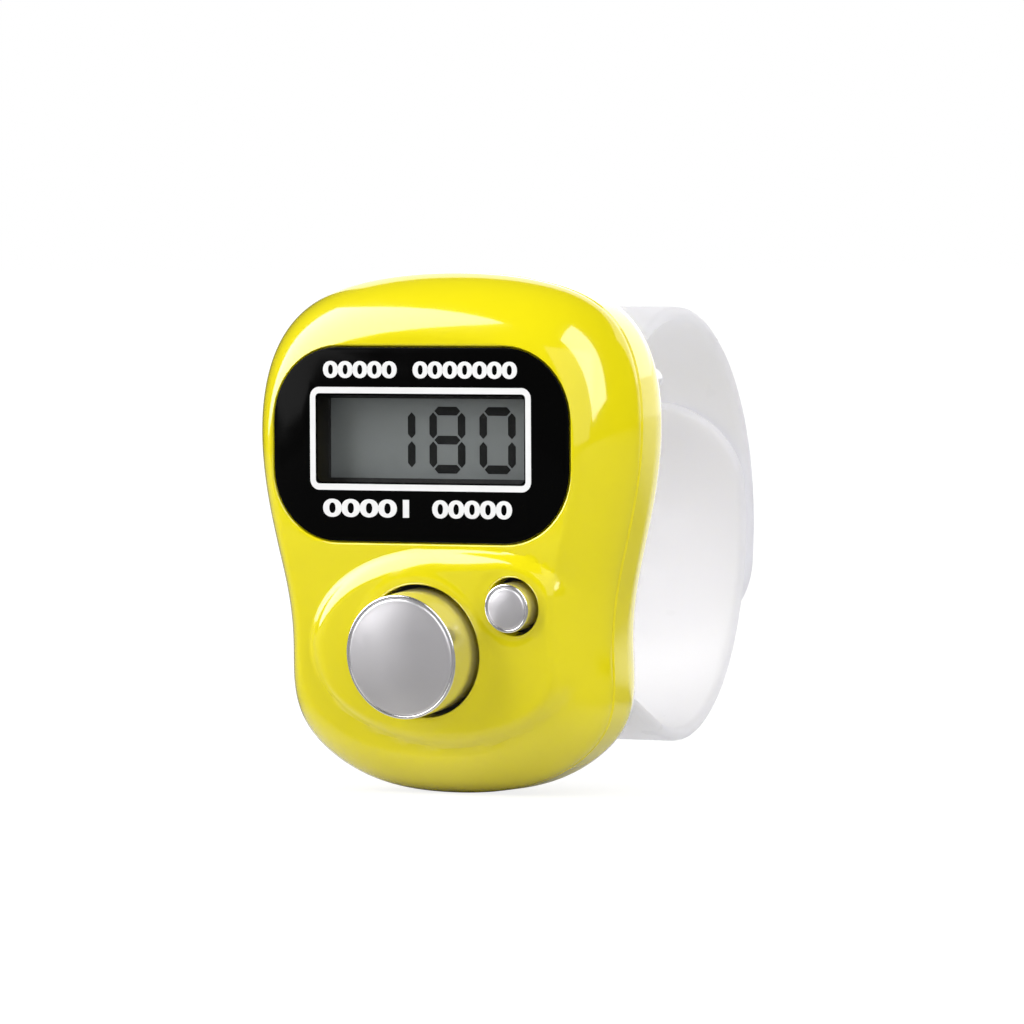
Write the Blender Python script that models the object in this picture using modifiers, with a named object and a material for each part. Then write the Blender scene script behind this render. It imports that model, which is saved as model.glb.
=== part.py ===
"""Digital finger counter: a ring counter with a display, two push buttons and an adjustable strap.

The origin is the middle of the finger's opening. X runs along the finger, the display faces -Y and
+Z is up. Pieces are modelled on the case's face: x to the right, height above the case's middle,
and depth behind the face plane.
"""
import math

import bmesh
import bpy
from mathutils import Matrix, Vector

# Case, in metres
CASE_WIDTH = 0.0302
CASE_HEIGHT = 0.0372
FRONT_SHELL_DEPTH = 0.0052
REAR_SHELL_DEPTH = 0.0060
WALL = 0.0015
BACK_WALL = 0.0012
SIDE_ROUNDING = 0.0028
CROWN_ROUNDING = 0.0046
CHIN_ROUNDING = 0.0028
BACK_ROUNDING = 0.0040
FRONT_EDGE_EXPONENT = 1.6
BACK_EDGE_EXPONENT = 2.0
FACE_FOLD_HEIGHT = -0.0010
FACE_TILT_DEGREES = 6.0
SEAM_GAP = 0.0001
TONGUE_WALL = 0.0006
TONGUE_HEIGHT = 0.0006
TONGUE_CLEARANCE = 0.0001
FINGER_PAD_WIDTH = 0.0150
FINGER_PAD_HEIGHT = 0.0130
FINGER_PAD_RISE = 0.0005
FINGER_PAD_CORNER = 0.0025

# Corners of the frame that the half outline is rounded from, crown to chin: shares of the half
# width and the half height
OUTLINE_SHARES = (
    (0.000, 1.014),
    (0.525, 0.977),
    (0.849, 0.867),
    (0.989, 0.657),
    (1.014, 0.379),
    (0.958, 0.087),
    (0.866, -0.181),
    (0.832, -0.411),
    (0.856, -0.599),
    (0.821, -0.750),
    (0.661, -0.880),
    (0.386, -0.984),
    (0.000, -1.009),
)

# Window
LENS_WIDTH = 0.0241
LENS_HEIGHT = 0.0138
LENS_CORNER = 0.0052
LENS_THICKNESS = 0.0006
LENS_MIDDLE_HEIGHT = 0.0064
MASK_THICKNESS = 0.0001
PRINT_WINDOW_WIDTH = 0.0170
PRINT_WINDOW_HEIGHT = 0.0062
WINDOW_MIDDLE_HEIGHT = 0.0068
PRINT_WINDOW_CORNER = 0.0004
WINDOW_SURROUND = 0.0007

# Display
VIEW_WIDTH = 0.0169
VIEW_HEIGHT = 0.0057
GLASS_SIDE_MARGIN = 0.00155
GLASS_END_MARGIN = 0.0007
GLASS_THICKNESS = 0.0007
POLARIZER_THICKNESS = 0.0002
CONTACT_LEDGE = 0.0021
HOLDER_BEZEL = 0.0003
HOLDER_WALL = 0.0008
HOLDER_CORNER = 0.0015

# Board and cell
BOARD_DEPTH = 0.0056
BOARD_THICKNESS = 0.0008
CELL_DIAMETER = 0.0116
CELL_THICKNESS = 0.00305
CONTACT_THICKNESS = 0.00015
CONTACT_WIDTH = 0.0040
CELL_STEP_DIAMETER = 0.0097
NEGATIVE_PLATE_DIAMETER = 0.0078
CHIP_BLOB_DIAMETER = 0.0042
CHIP_BLOB_HEIGHT = 0.0010
CHIP_BLOB_END_MARGIN = 0.0055
SMALL_PART_LENGTH = 0.0016
SMALL_PART_WIDTH = 0.0009
SMALL_PART_HEIGHT = 0.0006

# Buttons, on the lower face: distances run down the face from its fold, and in from its surface
COUNT_DIAMETER = 0.0089
COUNT_DISTANCE = 0.0072
COUNT_PROTRUSION = 0.0031
COUNT_TRAVEL = 0.0008
COLLAR_RISE = 0.0010
COLLAR_RIM = 0.0007
MOUND_WIDTH = 0.0206
MOUND_HEIGHT = 0.0146
MOUND_SHIFT = 0.0006
MOUND_SHOULDER = 0.0014
MOUND_RISE = 0.0008
RESET_DIAMETER = 0.0035
RESET_SIDE_MARGIN = 0.0075
RESET_DISTANCE = 0.0039
RESET_RISE = 0.0007
RESET_PROTRUSION = 0.00107
RESET_TRAVEL = 0.0006
BUTTON_CLEARANCE = 0.00033
FLANGE_OVERLAP = 0.00037
FLANGE_THICKNESS = 0.0007
FLANGE_SEAT_DEPTH = 0.0009
CAP_ROUNDING = 0.00035
CAP_DOME = 0.0002
CAP_WALL = 0.0008
COUNT_STEM_DIAMETER = 0.0040
RESET_STEM_DIAMETER = 0.0018
COUNT_DOME_DIAMETER = 0.0086
RESET_DOME_DIAMETER = 0.0050
DOME_SKIN = 0.0005
DOME_TOP_THICKNESS = 0.0005
PILL_THICKNESS = 0.0003
COUNT_PILL_DIAMETER = 0.0026
RESET_PILL_DIAMETER = 0.0013

# Screws and posts
SCREW_DIAMETER = 0.0016
SCREW_HEAD_DIAMETER = 0.0027
SCREW_HEAD_HEIGHT = 0.0009
SCREW_LENGTH = 0.0050
POST_DIAMETER = 0.0030
SCREW_SEAT_DEPTH = 0.0094
POST_END_DEPTH = 0.0081
CROWN_SCREW_SIDE_MARGIN = 0.0091
CROWN_SCREW_END_MARGIN = 0.0046
CHIN_SCREW_SIDE_MARGIN = 0.0078
CHIN_SCREW_END_MARGIN = 0.0060
BOSS_WALL = 0.0006
DRIVER_SLOT_WIDTH = 0.0004
DRIVER_SLOT_DEPTH = 0.0004

# Straps and the ring that they form
STRAP_WIDTH = 0.0133
STRAP_THICKNESS = 0.0010
STRAP_GAP = 0.00025
STRAP_EXIT_HEIGHT = 0.0090
RING_HEIGHT = 0.0319
RING_CROWN_DEPTH = 0.0265
RING_REACH = 0.0120
EXIT_BEND_RADIUS = 0.0020
CROWN_BEND_RADIUS = 0.0075
UPPER_TAIL_LENGTH = 0.0312
LOWER_TAIL_LENGTH = 0.0294
ANCHOR_WIDTH = 0.0149
ANCHOR_HEIGHT = 0.0020
HOLE_DIAMETER = 0.0019
HOLE_PITCH = 0.0040
HOLE_COUNT = 5
FIRST_HOLE_DISTANCE = 0.0096
STUD_DIAMETER = 0.0014
STUD_RISE = 0.0010
STUDDED_HOLES = (1, 2)
HINGE_GAP = 0.0003

# Clearances
FIT = 0.0001
LAYER_GAP = 0.00005
SEAT_GAP = 0.0003
CUT_MARGIN = 0.0010

# Facets
OUTLINE_STEPS = 2
EDGE_STEPS = 5
CORNER_STEPS = 5
ROUND_SIDES = 32
SMALL_SIDES = 16
STRAP_STEP = 0.0014
RING_STEPS = 240
BEND_STEPS = 6
TIP_STEPS = 5
TIP_END_DEGREES = 82.0
NOSE_DEGREES = (15.0, 40.0, 65.0)

# Values that follow from the sizes above
HALF_WIDTH = CASE_WIDTH / 2
HALF_HEIGHT = CASE_HEIGHT / 2
CASE_DEPTH = FRONT_SHELL_DEPTH + REAR_SHELL_DEPTH
FACE_TILT = math.radians(FACE_TILT_DEGREES)
RESET_X = HALF_WIDTH - RESET_SIDE_MARGIN
HALF_STRAP = STRAP_THICKNESS / 2
RING_HALF_HEIGHT = RING_HEIGHT / 2 - HALF_STRAP
RING_OFFSET = STRAP_THICKNESS + STRAP_GAP
UPPER_REACH = RING_REACH - HALF_STRAP
LOWER_REACH = UPPER_REACH - RING_OFFSET
PAD_DEPTH = CASE_DEPTH + FINGER_PAD_RISE
RING_MIDDLE_DEPTH = (PAD_DEPTH + RING_CROWN_DEPTH + LOWER_REACH - HALF_STRAP) / 2
LENS_DEPTH = MASK_THICKNESS + LAYER_GAP
RECESS_DEPTH = LENS_DEPTH + LENS_THICKNESS + LAYER_GAP
HOLDER_DEPTH = WALL + FIT
GLASS_WIDTH = VIEW_WIDTH + 2 * GLASS_SIDE_MARGIN
GLASS_HEIGHT = VIEW_HEIGHT + 2 * GLASS_END_MARGIN + CONTACT_LEDGE
GLASS_MIDDLE_HEIGHT = WINDOW_MIDDLE_HEIGHT - CONTACT_LEDGE / 2
HOLDER_WIDTH = GLASS_WIDTH + 2 * (FIT + HOLDER_WALL)
HOLDER_HEIGHT = GLASS_HEIGHT + 2 * (FIT + HOLDER_WALL)
POLARIZER_DEPTH = HOLDER_DEPTH + HOLDER_BEZEL + LAYER_GAP
FRONT_GLASS_DEPTH = POLARIZER_DEPTH + POLARIZER_THICKNESS + LAYER_GAP
REAR_GLASS_DEPTH = FRONT_GLASS_DEPTH + GLASS_THICKNESS + LAYER_GAP
REFLECTOR_DEPTH = REAR_GLASS_DEPTH + GLASS_THICKNESS + LAYER_GAP
GLASS_BOTTOM = GLASS_MIDDLE_HEIGHT - GLASS_HEIGHT / 2
BOARD_BACK = BOARD_DEPTH + BOARD_THICKNESS
NEGATIVE_PLATE_DEPTH = BOARD_BACK + LAYER_GAP
CELL_DEPTH = NEGATIVE_PLATE_DEPTH + CONTACT_THICKNESS + LAYER_GAP
CELL_BACK = CELL_DEPTH + CELL_THICKNESS
INNER_BACK = CASE_DEPTH - BACK_WALL
COUNT_HOLE_RADIUS = COUNT_DIAMETER / 2 + BUTTON_CLEARANCE
RESET_HOLE_RADIUS = RESET_DIAMETER / 2 + BUTTON_CLEARANCE
POST_CLEARANCE = SEAT_GAP
SCREW_HOLE_RADIUS = SCREW_DIAMETER / 2 + FIT
COUNTERBORE_RADIUS = SCREW_HEAD_DIAMETER / 2 + 2 * FIT
SCREW_BOSS_RADIUS = COUNTERBORE_RADIUS + BOSS_WALL


def clear_scene():
    """Remove whatever the file holds."""
    for item in list(bpy.data.objects):
        bpy.data.objects.remove(item, do_unlink=True)


def make_collection(name):
    """A new collection in the scene."""
    collection = bpy.data.collections.new(name)
    bpy.context.scene.collection.children.link(collection)
    return collection


def make_material(name, colour, roughness, metallic=0.0, alpha=1.0):
    """A Principled material of one plain finish."""
    material = bpy.data.materials.new(name)
    material.use_nodes = True
    shader = material.node_tree.nodes["Principled BSDF"]
    shader.inputs["Base Color"].default_value = (*colour, 1.0)
    shader.inputs["Roughness"].default_value = roughness
    shader.inputs["Metallic"].default_value = metallic
    shader.inputs["Alpha"].default_value = alpha
    return material


clear_scene()
PARTS = make_collection("finger_counter")
CUTTERS = make_collection("finger_counter_cutters")

YELLOW = make_material("yellow_plastic", (0.74, 0.69, 0.02), 0.25)
CLEAR = make_material("clear_window", (0.90, 0.92, 0.93), 0.05, alpha=0.3)
BLACK = make_material("black_print", (0.01, 0.01, 0.01), 0.35)
DARK = make_material("dark_plastic", (0.02, 0.02, 0.02), 0.5)
GREY = make_material("display_grey", (0.13, 0.14, 0.14), 0.4)
GLASS = make_material("display_glass", (0.70, 0.75, 0.75), 0.05, alpha=0.4)
SILVER = make_material("reflector_film", (0.60, 0.62, 0.60), 0.35, metallic=0.6)
CHROME = make_material("satin_chrome", (0.72, 0.71, 0.73), 0.25, metallic=1.0)
STEEL = make_material("contact_steel", (0.62, 0.61, 0.58), 0.3, metallic=1.0)
GREEN = make_material("board_green", (0.02, 0.13, 0.06), 0.5)
CERAMIC = make_material("ceramic", (0.35, 0.25, 0.16), 0.6)
SILICONE = make_material("silicone", (0.60, 0.61, 0.62), 0.55)
CARBON = make_material("carbon", (0.03, 0.03, 0.03), 0.7)
STRAP = make_material("milky_strap", (0.82, 0.82, 0.85), 0.35, alpha=0.75)

CASE_FRAME = bpy.data.objects.new("case_frame", None)
CASE_FRAME.location = (0.0, -RING_MIDDLE_DEPTH, 0.0)
CASE_FRAME.rotation_euler = (math.pi / 2, 0.0, 0.0)
PARTS.objects.link(CASE_FRAME)

LOWER_FACE = bpy.data.objects.new("lower_face_frame", None)
LOWER_FACE.parent = CASE_FRAME
LOWER_FACE.location = (0.0, FACE_FOLD_HEIGHT, 0.0)
LOWER_FACE.rotation_euler = (FACE_TILT, 0.0, 0.0)
PARTS.objects.link(LOWER_FACE)


def place(name, mesh, x=0.0, height=0.0, depth=0.0, material=None, frame=CASE_FRAME):
    """Put a mesh on the case's frame or the lower face's; its +Z points out of the face."""
    item = bpy.data.objects.new(name, mesh)
    item.parent = frame
    item.location = (x, height, -depth)
    if material is not None:
        item.data.materials.append(material)
    PARTS.objects.link(item)
    return item


def smooth(item):
    """Shade a round piece smooth, with its edges kept sharp."""
    item.data.shade_smooth()
    item.data.set_sharp_from_angle(angle=math.radians(35.0))
    return item


def as_tool(item):
    """Make a piece a cutter or a guide."""
    PARTS.objects.unlink(item)
    CUTTERS.objects.link(item)
    item.hide_render = True
    item.display_type = "WIRE"
    return item


def combine(target, tool, operation):
    """Add one exact Boolean of a tool to a piece."""
    as_tool(tool)
    modifier = target.modifiers.new(tool.name, "BOOLEAN")
    modifier.operation = operation
    modifier.solver = "EXACT"
    modifier.object = tool


def cut(target, tool):
    """Take a tool's shape out of a piece."""
    combine(target, tool, "DIFFERENCE")


def join(target, tool):
    """Grow a piece by a tool's shape."""
    combine(target, tool, "UNION")


def mesh_from(builder, name):
    """A mesh from a bmesh, with its faces pointing out."""
    bmesh.ops.recalc_face_normals(builder, faces=builder.faces)
    mesh = bpy.data.meshes.new(name)
    builder.to_mesh(mesh)
    builder.free()
    return mesh


def box(name, width, height, near, far, x=0.0, middle=0.0, material=None):
    """A block between two depths."""
    builder = bmesh.new()
    scale = Matrix.Diagonal((width, height, far - near, 1.0))
    bmesh.ops.create_cube(builder, size=1.0, matrix=scale)
    return place(name, mesh_from(builder, name), x, middle, (near + far) / 2, material)


def cylinder(name, radius, near, far, x=0.0, middle=0.0, sides=SMALL_SIDES, material=None,
             frame=CASE_FRAME):
    """A round bar along the depth."""
    builder = bmesh.new()
    half_facet = Matrix.Rotation(math.pi / sides, 4, "Z")
    bmesh.ops.create_cone(builder, cap_ends=True, segments=sides, radius1=radius, radius2=radius,
                          depth=far - near, matrix=half_facet)
    return place(name, mesh_from(builder, name), x, middle, (near + far) / 2, material, frame)


def turned(name, profile, x=0.0, middle=0.0, sides=SMALL_SIDES, material=None, frame=CASE_FRAME):
    """A turned piece from (radius, depth) points, listed down its outer side."""
    mesh = bpy.data.meshes.new(name)
    points = [(radius, 0.0, -depth) for radius, depth in profile]
    edges = [(index, index + 1) for index in range(len(points) - 1)]
    mesh.from_pydata(points, edges, [])
    item = place(name, mesh, x, middle, 0.0, material, frame)
    screw = item.modifiers.new("turn", "SCREW")
    screw.steps = sides
    screw.render_steps = sides
    screw.use_merge_vertices = True
    screw.merge_threshold = 0.00001
    return item


def flat_piece(name, outlines, near, far, middle=0.0, material=None):
    """A plate cut to closed outlines; the ones after the first are holes."""
    curve = bpy.data.curves.new(name + "_outline", "CURVE")
    curve.dimensions = "2D"
    curve.fill_mode = "BOTH"
    curve.extrude = (far - near) / 2
    for outline in outlines:
        spline = curve.splines.new("POLY")
        spline.points.add(len(outline) - 1)
        for point, (x, height) in zip(spline.points, outline):
            point.co = (x, height, 0.0, 1.0)
        spline.use_cyclic_u = True
    guide = place(name + "_outline", curve, 0.0, middle, (near + far) / 2)
    graph = bpy.context.evaluated_depsgraph_get()
    mesh = bpy.data.meshes.new_from_object(guide.evaluated_get(graph))
    bpy.data.objects.remove(guide, do_unlink=True)
    builder = bmesh.new()
    builder.from_mesh(mesh)
    bmesh.ops.remove_doubles(builder, verts=builder.verts, dist=0.0000005)
    bmesh.ops.dissolve_limit(builder, angle_limit=0.001, verts=builder.verts, edges=builder.edges)
    builder.to_mesh(mesh)
    builder.free()
    mesh.materials.clear()
    return place(name, mesh, 0.0, middle, (near + far) / 2, material)


def rounded_rectangle(width, height, corner, x=0.0, middle=0.0):
    """Points around a rectangle with round corners."""
    points = []
    for index, (side, end) in enumerate(((1, 1), (-1, 1), (-1, -1), (1, -1))):
        for step in range(CORNER_STEPS + 1):
            angle = math.pi / 2 * (index + step / CORNER_STEPS)
            points.append((x + side * (width / 2 - corner) + corner * math.cos(angle),
                           middle + end * (height / 2 - corner) + corner * math.sin(angle)))
    return points


def circle(radius, x, middle, sides=SMALL_SIDES):
    """Points around a circle."""
    turns = [2 * math.pi * index / sides for index in range(sides)]
    return [(x + radius * math.cos(turn), middle + radius * math.sin(turn)) for turn in turns]


# Case shells

def half_outline():
    """Right half of the case's outline, from crown to chin, as an even spline."""
    stations = [Vector(shares) for shares in OUTLINE_SHARES]
    mirror = Vector((-1.0, 1.0))
    stations = [stations[1] * mirror] + stations + [stations[-2] * mirror]
    points = []
    for index in range(1, len(stations) - 1):
        before, start, end = stations[index - 1:index + 2]
        points.append((before + 4 * start + end) / 6)
        if index == len(stations) - 2:
            break
        after = stations[index + 2]
        for step in range(1, OUTLINE_STEPS):
            share = step / OUTLINE_STEPS
            points.append((before * (1 - share) ** 3 + start * (3 * share ** 3 - 6 * share ** 2 + 4)
                           + end * (1 + 3 * share + 3 * share ** 2 - 3 * share ** 3)
                           + after * share ** 3) / 6)
    widest = max(point.x for point in points)
    top, bottom = points[0].y, points[-1].y
    return [Vector((point.x / widest * HALF_WIDTH,
                    (point.y - bottom) / (top - bottom) * CASE_HEIGHT - HALF_HEIGHT)) for point in points]


def case_loop(side_inset, crown_inset, chin_inset):
    """The case's outline drawn in by different amounts, clockwise from the crown."""
    right = []
    for point in half_outline():
        end_inset = crown_inset if point.y > 0 else chin_inset
        right.append((point.x * (1 - side_inset / HALF_WIDTH), point.y * (1 - end_inset / HALF_HEIGHT)))
    right[0] = (0.0, right[0][1])
    right[-1] = (0.0, right[-1][1])
    return right + [(-x, height) for x, height in reversed(right[1:-1])]


def face_recede(height):
    """How far the lower face leans back at a height."""
    return max(0.0, FACE_FOLD_HEIGHT - height) * math.tan(FACE_TILT)


def lower_face_height(distance, depth):
    """Height above the case's middle of a place on the lower face's frame."""
    return FACE_FOLD_HEIGHT - distance * math.cos(FACE_TILT) + depth * math.sin(FACE_TILT)


def dome_top(travel):
    """Depth of a dome's top that lets its pill reach the board at the end of the travel."""
    return BOARD_DEPTH - travel - FIT - PILL_THICKNESS - LAYER_GAP - DOME_TOP_THICKNESS


def stem_end(distance, stem_diameter, travel):
    """How far a stem runs in from the lower face to rest on its dome."""
    rest = dome_top(travel) - LAYER_GAP - stem_diameter / 2 * math.sin(FACE_TILT)
    return (rest - distance * math.sin(FACE_TILT)) / math.cos(FACE_TILT)


def shell_form(name, insets, wall, parting, rounding, end, exponent, leans, material=None):
    """A solid from the parting plane, straight to where its rounding starts, to a flat end.

    A form with a wall is a cavity: it is drawn in, and runs on a little past the parting plane.
    """
    builder = bmesh.new()
    rings = []
    first_depth = parting if wall == 0 else parting + math.copysign(CUT_MARGIN, parting - end)
    if first_depth != rounding:
        rings.append([builder.verts.new((x, height, -first_depth)) for x, height in rim_band(wall)])
    for step in range(EDGE_STEPS + 1):
        turn = math.pi / 2 * step / EDGE_STEPS
        drawn = 1 - math.cos(turn) ** (2 / exponent) if step < EDGE_STEPS else 1.0
        reach = math.sin(turn) ** (2 / exponent)
        loop = case_loop(*[wall + (inset - wall) * drawn for inset in insets])
        ring = []
        for x, height in loop:
            lean = face_recede(height) * reach if leans else 0.0
            depth = rounding + (end - rounding) * reach + lean
            ring.append(builder.verts.new((x, height, -depth)))
        rings.append(ring)
    count = len(rings[0])
    for first, second in zip(rings, rings[1:]):
        for index in range(count):
            after = (index + 1) % count
            builder.faces.new((first[index], first[after], second[after], second[index]))
    for ring in (rings[0], rings[-1]):
        cap_across(builder, ring)
    return place(name, mesh_from(builder, name), material=material)


def cap_across(builder, ring):
    """Close a symmetric ring with strips that run level from side to side."""
    half = len(ring) // 2
    for index in range(half):
        corners = [ring[index], ring[index + 1], ring[-index - 1], ring[-index % len(ring)]]
        unique = list(dict.fromkeys(corners))
        builder.faces.new(unique)


FRONT_INSETS = (SIDE_ROUNDING, CROWN_ROUNDING, CHIN_ROUNDING)
REAR_INSETS = (BACK_ROUNDING, BACK_ROUNDING, BACK_ROUNDING)
SCREW_PLACES = tuple(
    (side * (HALF_WIDTH - side_margin), end * (HALF_HEIGHT - end_margin))
    for end, side_margin, end_margin in (
        (1, CROWN_SCREW_SIDE_MARGIN, CROWN_SCREW_END_MARGIN),
        (-1, CHIN_SCREW_SIDE_MARGIN, CHIN_SCREW_END_MARGIN),
    )
    for side in (-1, 1)
)


def rim_band(inset):
    """The case's outline drawn in evenly, for the tongue and its rebate."""
    return case_loop(inset, inset, inset)


def make_mound():
    """Oval swelling of the lower face that rises to the large button's round rim."""
    half_width = MOUND_WIDTH / 2
    half_height = MOUND_HEIGHT / 2
    rim = COUNT_HOLE_RADIUS + COLLAR_RIM
    levels = (
        (0.0, rim, rim, -COLLAR_RISE),
        (MOUND_SHIFT, half_width - MOUND_SHOULDER, half_height - MOUND_SHOULDER, -MOUND_RISE),
        (MOUND_SHIFT, half_width - MOUND_SHOULDER / 3, half_height - MOUND_SHOULDER / 3, -MOUND_RISE * 0.6),
        (MOUND_SHIFT, half_width, half_height, -FIT),
        (MOUND_SHIFT, half_width, half_height, WALL + CUT_MARGIN),
    )
    turns = [2 * math.pi * (index + 0.5) / ROUND_SIDES for index in range(ROUND_SIDES)]
    builder = bmesh.new()
    rings = []
    for middle, across, tall, depth in levels:
        rings.append([builder.verts.new((middle + across * math.cos(turn), tall * math.sin(turn), -depth))
                      for turn in turns])
    for first, second in zip(rings, rings[1:]):
        for index in range(ROUND_SIDES):
            after = (index + 1) % ROUND_SIDES
            builder.faces.new((first[index], first[after], second[after], second[index]))
    builder.faces.new(rings[0])
    builder.faces.new(rings[-1])
    return place("mound", mesh_from(builder, "mound"), 0.0, -COUNT_DISTANCE, frame=LOWER_FACE)


def make_front_shell():
    """Domed front with the window's recess, the mound, the button holes and four posts."""
    shell = shell_form("front_shell", FRONT_INSETS, 0.0, FRONT_SHELL_DEPTH, FRONT_SHELL_DEPTH, 0.0,
                       FRONT_EDGE_EXPONENT, True, YELLOW)
    join(shell, make_mound())
    cavity = shell_form("front_cavity", FRONT_INSETS, WALL, FRONT_SHELL_DEPTH, FRONT_SHELL_DEPTH, WALL,
                        FRONT_EDGE_EXPONENT, True)
    cut(shell, cavity)
    rebate = flat_piece("rebate", [rim_band(WALL - TONGUE_WALL - TONGUE_CLEARANCE)],
                        FRONT_SHELL_DEPTH - TONGUE_HEIGHT - TONGUE_CLEARANCE,
                        FRONT_SHELL_DEPTH + CUT_MARGIN)
    cut(shell, rebate)
    recess = flat_piece("recess", [rounded_rectangle(LENS_WIDTH + 2 * FIT, LENS_HEIGHT + 2 * FIT,
                                                     LENS_CORNER + FIT)],
                        -CUT_MARGIN, RECESS_DEPTH, LENS_MIDDLE_HEIGHT)
    cut(shell, recess)
    window = box("window", PRINT_WINDOW_WIDTH + 2 * WINDOW_SURROUND,
                 PRINT_WINDOW_HEIGHT + 2 * WINDOW_SURROUND,
                 0.0, WALL + CUT_MARGIN, middle=WINDOW_MIDDLE_HEIGHT)
    cut(shell, window)
    for name, radius, x, distance in (
        ("count_bore", COUNT_HOLE_RADIUS, 0.0, COUNT_DISTANCE),
        ("reset_bore", RESET_HOLE_RADIUS, RESET_X, RESET_DISTANCE),
    ):
        seat_radius = radius + FLANGE_OVERLAP + FIT
        seat_end = WALL + 2 * CUT_MARGIN
        cut(shell, cylinder(name, radius, -COLLAR_RISE - CUT_MARGIN, seat_end, x, -distance,
                            ROUND_SIDES, frame=LOWER_FACE))
        cut(shell, cylinder(name + "_seat", seat_radius, FLANGE_SEAT_DEPTH, seat_end, x, -distance,
                            ROUND_SIDES, frame=LOWER_FACE))
    for index, (x, height) in enumerate(SCREW_PLACES):
        post_root = WALL + face_recede(height) - FIT
        join(shell, cylinder(f"post_{index}", POST_DIAMETER / 2, post_root, POST_END_DEPTH, x, height))
        pilot_start = SCREW_SEAT_DEPTH - SCREW_LENGTH - SEAT_GAP
        cut(shell, cylinder(f"pilot_{index}", SCREW_HOLE_RADIUS, pilot_start,
                            POST_END_DEPTH + CUT_MARGIN, x, height))
    return shell


def make_rear_shell():
    """Rear casing with its tongue, screw bosses, strap slots and finger pad."""
    parting = FRONT_SHELL_DEPTH + SEAM_GAP
    rounding = CASE_DEPTH - BACK_ROUNDING
    shell = shell_form("rear_shell", REAR_INSETS, 0.0, parting, rounding, CASE_DEPTH,
                       BACK_EDGE_EXPONENT, False, YELLOW)
    join(shell, flat_piece("finger_pad", [rounded_rectangle(FINGER_PAD_WIDTH, FINGER_PAD_HEIGHT,
                                                            FINGER_PAD_CORNER)],
                           INNER_BACK, PAD_DEPTH))
    cavity = shell_form("rear_cavity", REAR_INSETS, WALL, parting, rounding, INNER_BACK,
                        BACK_EDGE_EXPONENT, False)
    for index, (x, height) in enumerate(SCREW_PLACES):
        boss = cylinder(f"boss_{index}", SCREW_BOSS_RADIUS, POST_END_DEPTH + FIT,
                        CASE_DEPTH, x, height)
        cut(cavity, boss)
    cut(shell, cavity)
    tongue_end = FRONT_SHELL_DEPTH - TONGUE_HEIGHT
    tongue = flat_piece("tongue", [rim_band(WALL - TONGUE_WALL), rim_band(WALL)],
                        tongue_end, parting + TONGUE_HEIGHT)
    join(shell, tongue)
    for index, (x, height) in enumerate(SCREW_PLACES):
        cut(shell, cylinder(f"post_room_{index}", POST_DIAMETER / 2 + POST_CLEARANCE,
                            tongue_end - CUT_MARGIN, POST_END_DEPTH + FIT / 2, x, height))
        cut(shell, cylinder(f"screw_hole_{index}", SCREW_HOLE_RADIUS, POST_END_DEPTH - CUT_MARGIN,
                            CASE_DEPTH + CUT_MARGIN, x, height))
        cut(shell, cylinder(f"counterbore_{index}", COUNTERBORE_RADIUS, SCREW_SEAT_DEPTH,
                            CASE_DEPTH + CUT_MARGIN, x, height))
    for name, height in (("upper_slot", STRAP_EXIT_HEIGHT), ("lower_slot", -STRAP_EXIT_HEIGHT)):
        cut(shell, box(name, STRAP_WIDTH + 2 * SEAT_GAP, STRAP_THICKNESS + 2 * SEAT_GAP,
                       INNER_BACK - CUT_MARGIN, CASE_DEPTH + CUT_MARGIN, middle=height))
    return shell


# Window and display

def make_window():
    """Printed film, flush with the face, and the clear window behind it."""
    outline = rounded_rectangle(LENS_WIDTH, LENS_HEIGHT, LENS_CORNER)
    flat_piece("display_lens", [outline], LENS_DEPTH, LENS_DEPTH + LENS_THICKNESS,
               LENS_MIDDLE_HEIGHT, CLEAR)
    opening = rounded_rectangle(PRINT_WINDOW_WIDTH, PRINT_WINDOW_HEIGHT, PRINT_WINDOW_CORNER,
                                middle=WINDOW_MIDDLE_HEIGHT - LENS_MIDDLE_HEIGHT)
    flat_piece("display_mask", [outline, opening], 0.0, MASK_THICKNESS, LENS_MIDDLE_HEIGHT, BLACK)


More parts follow.
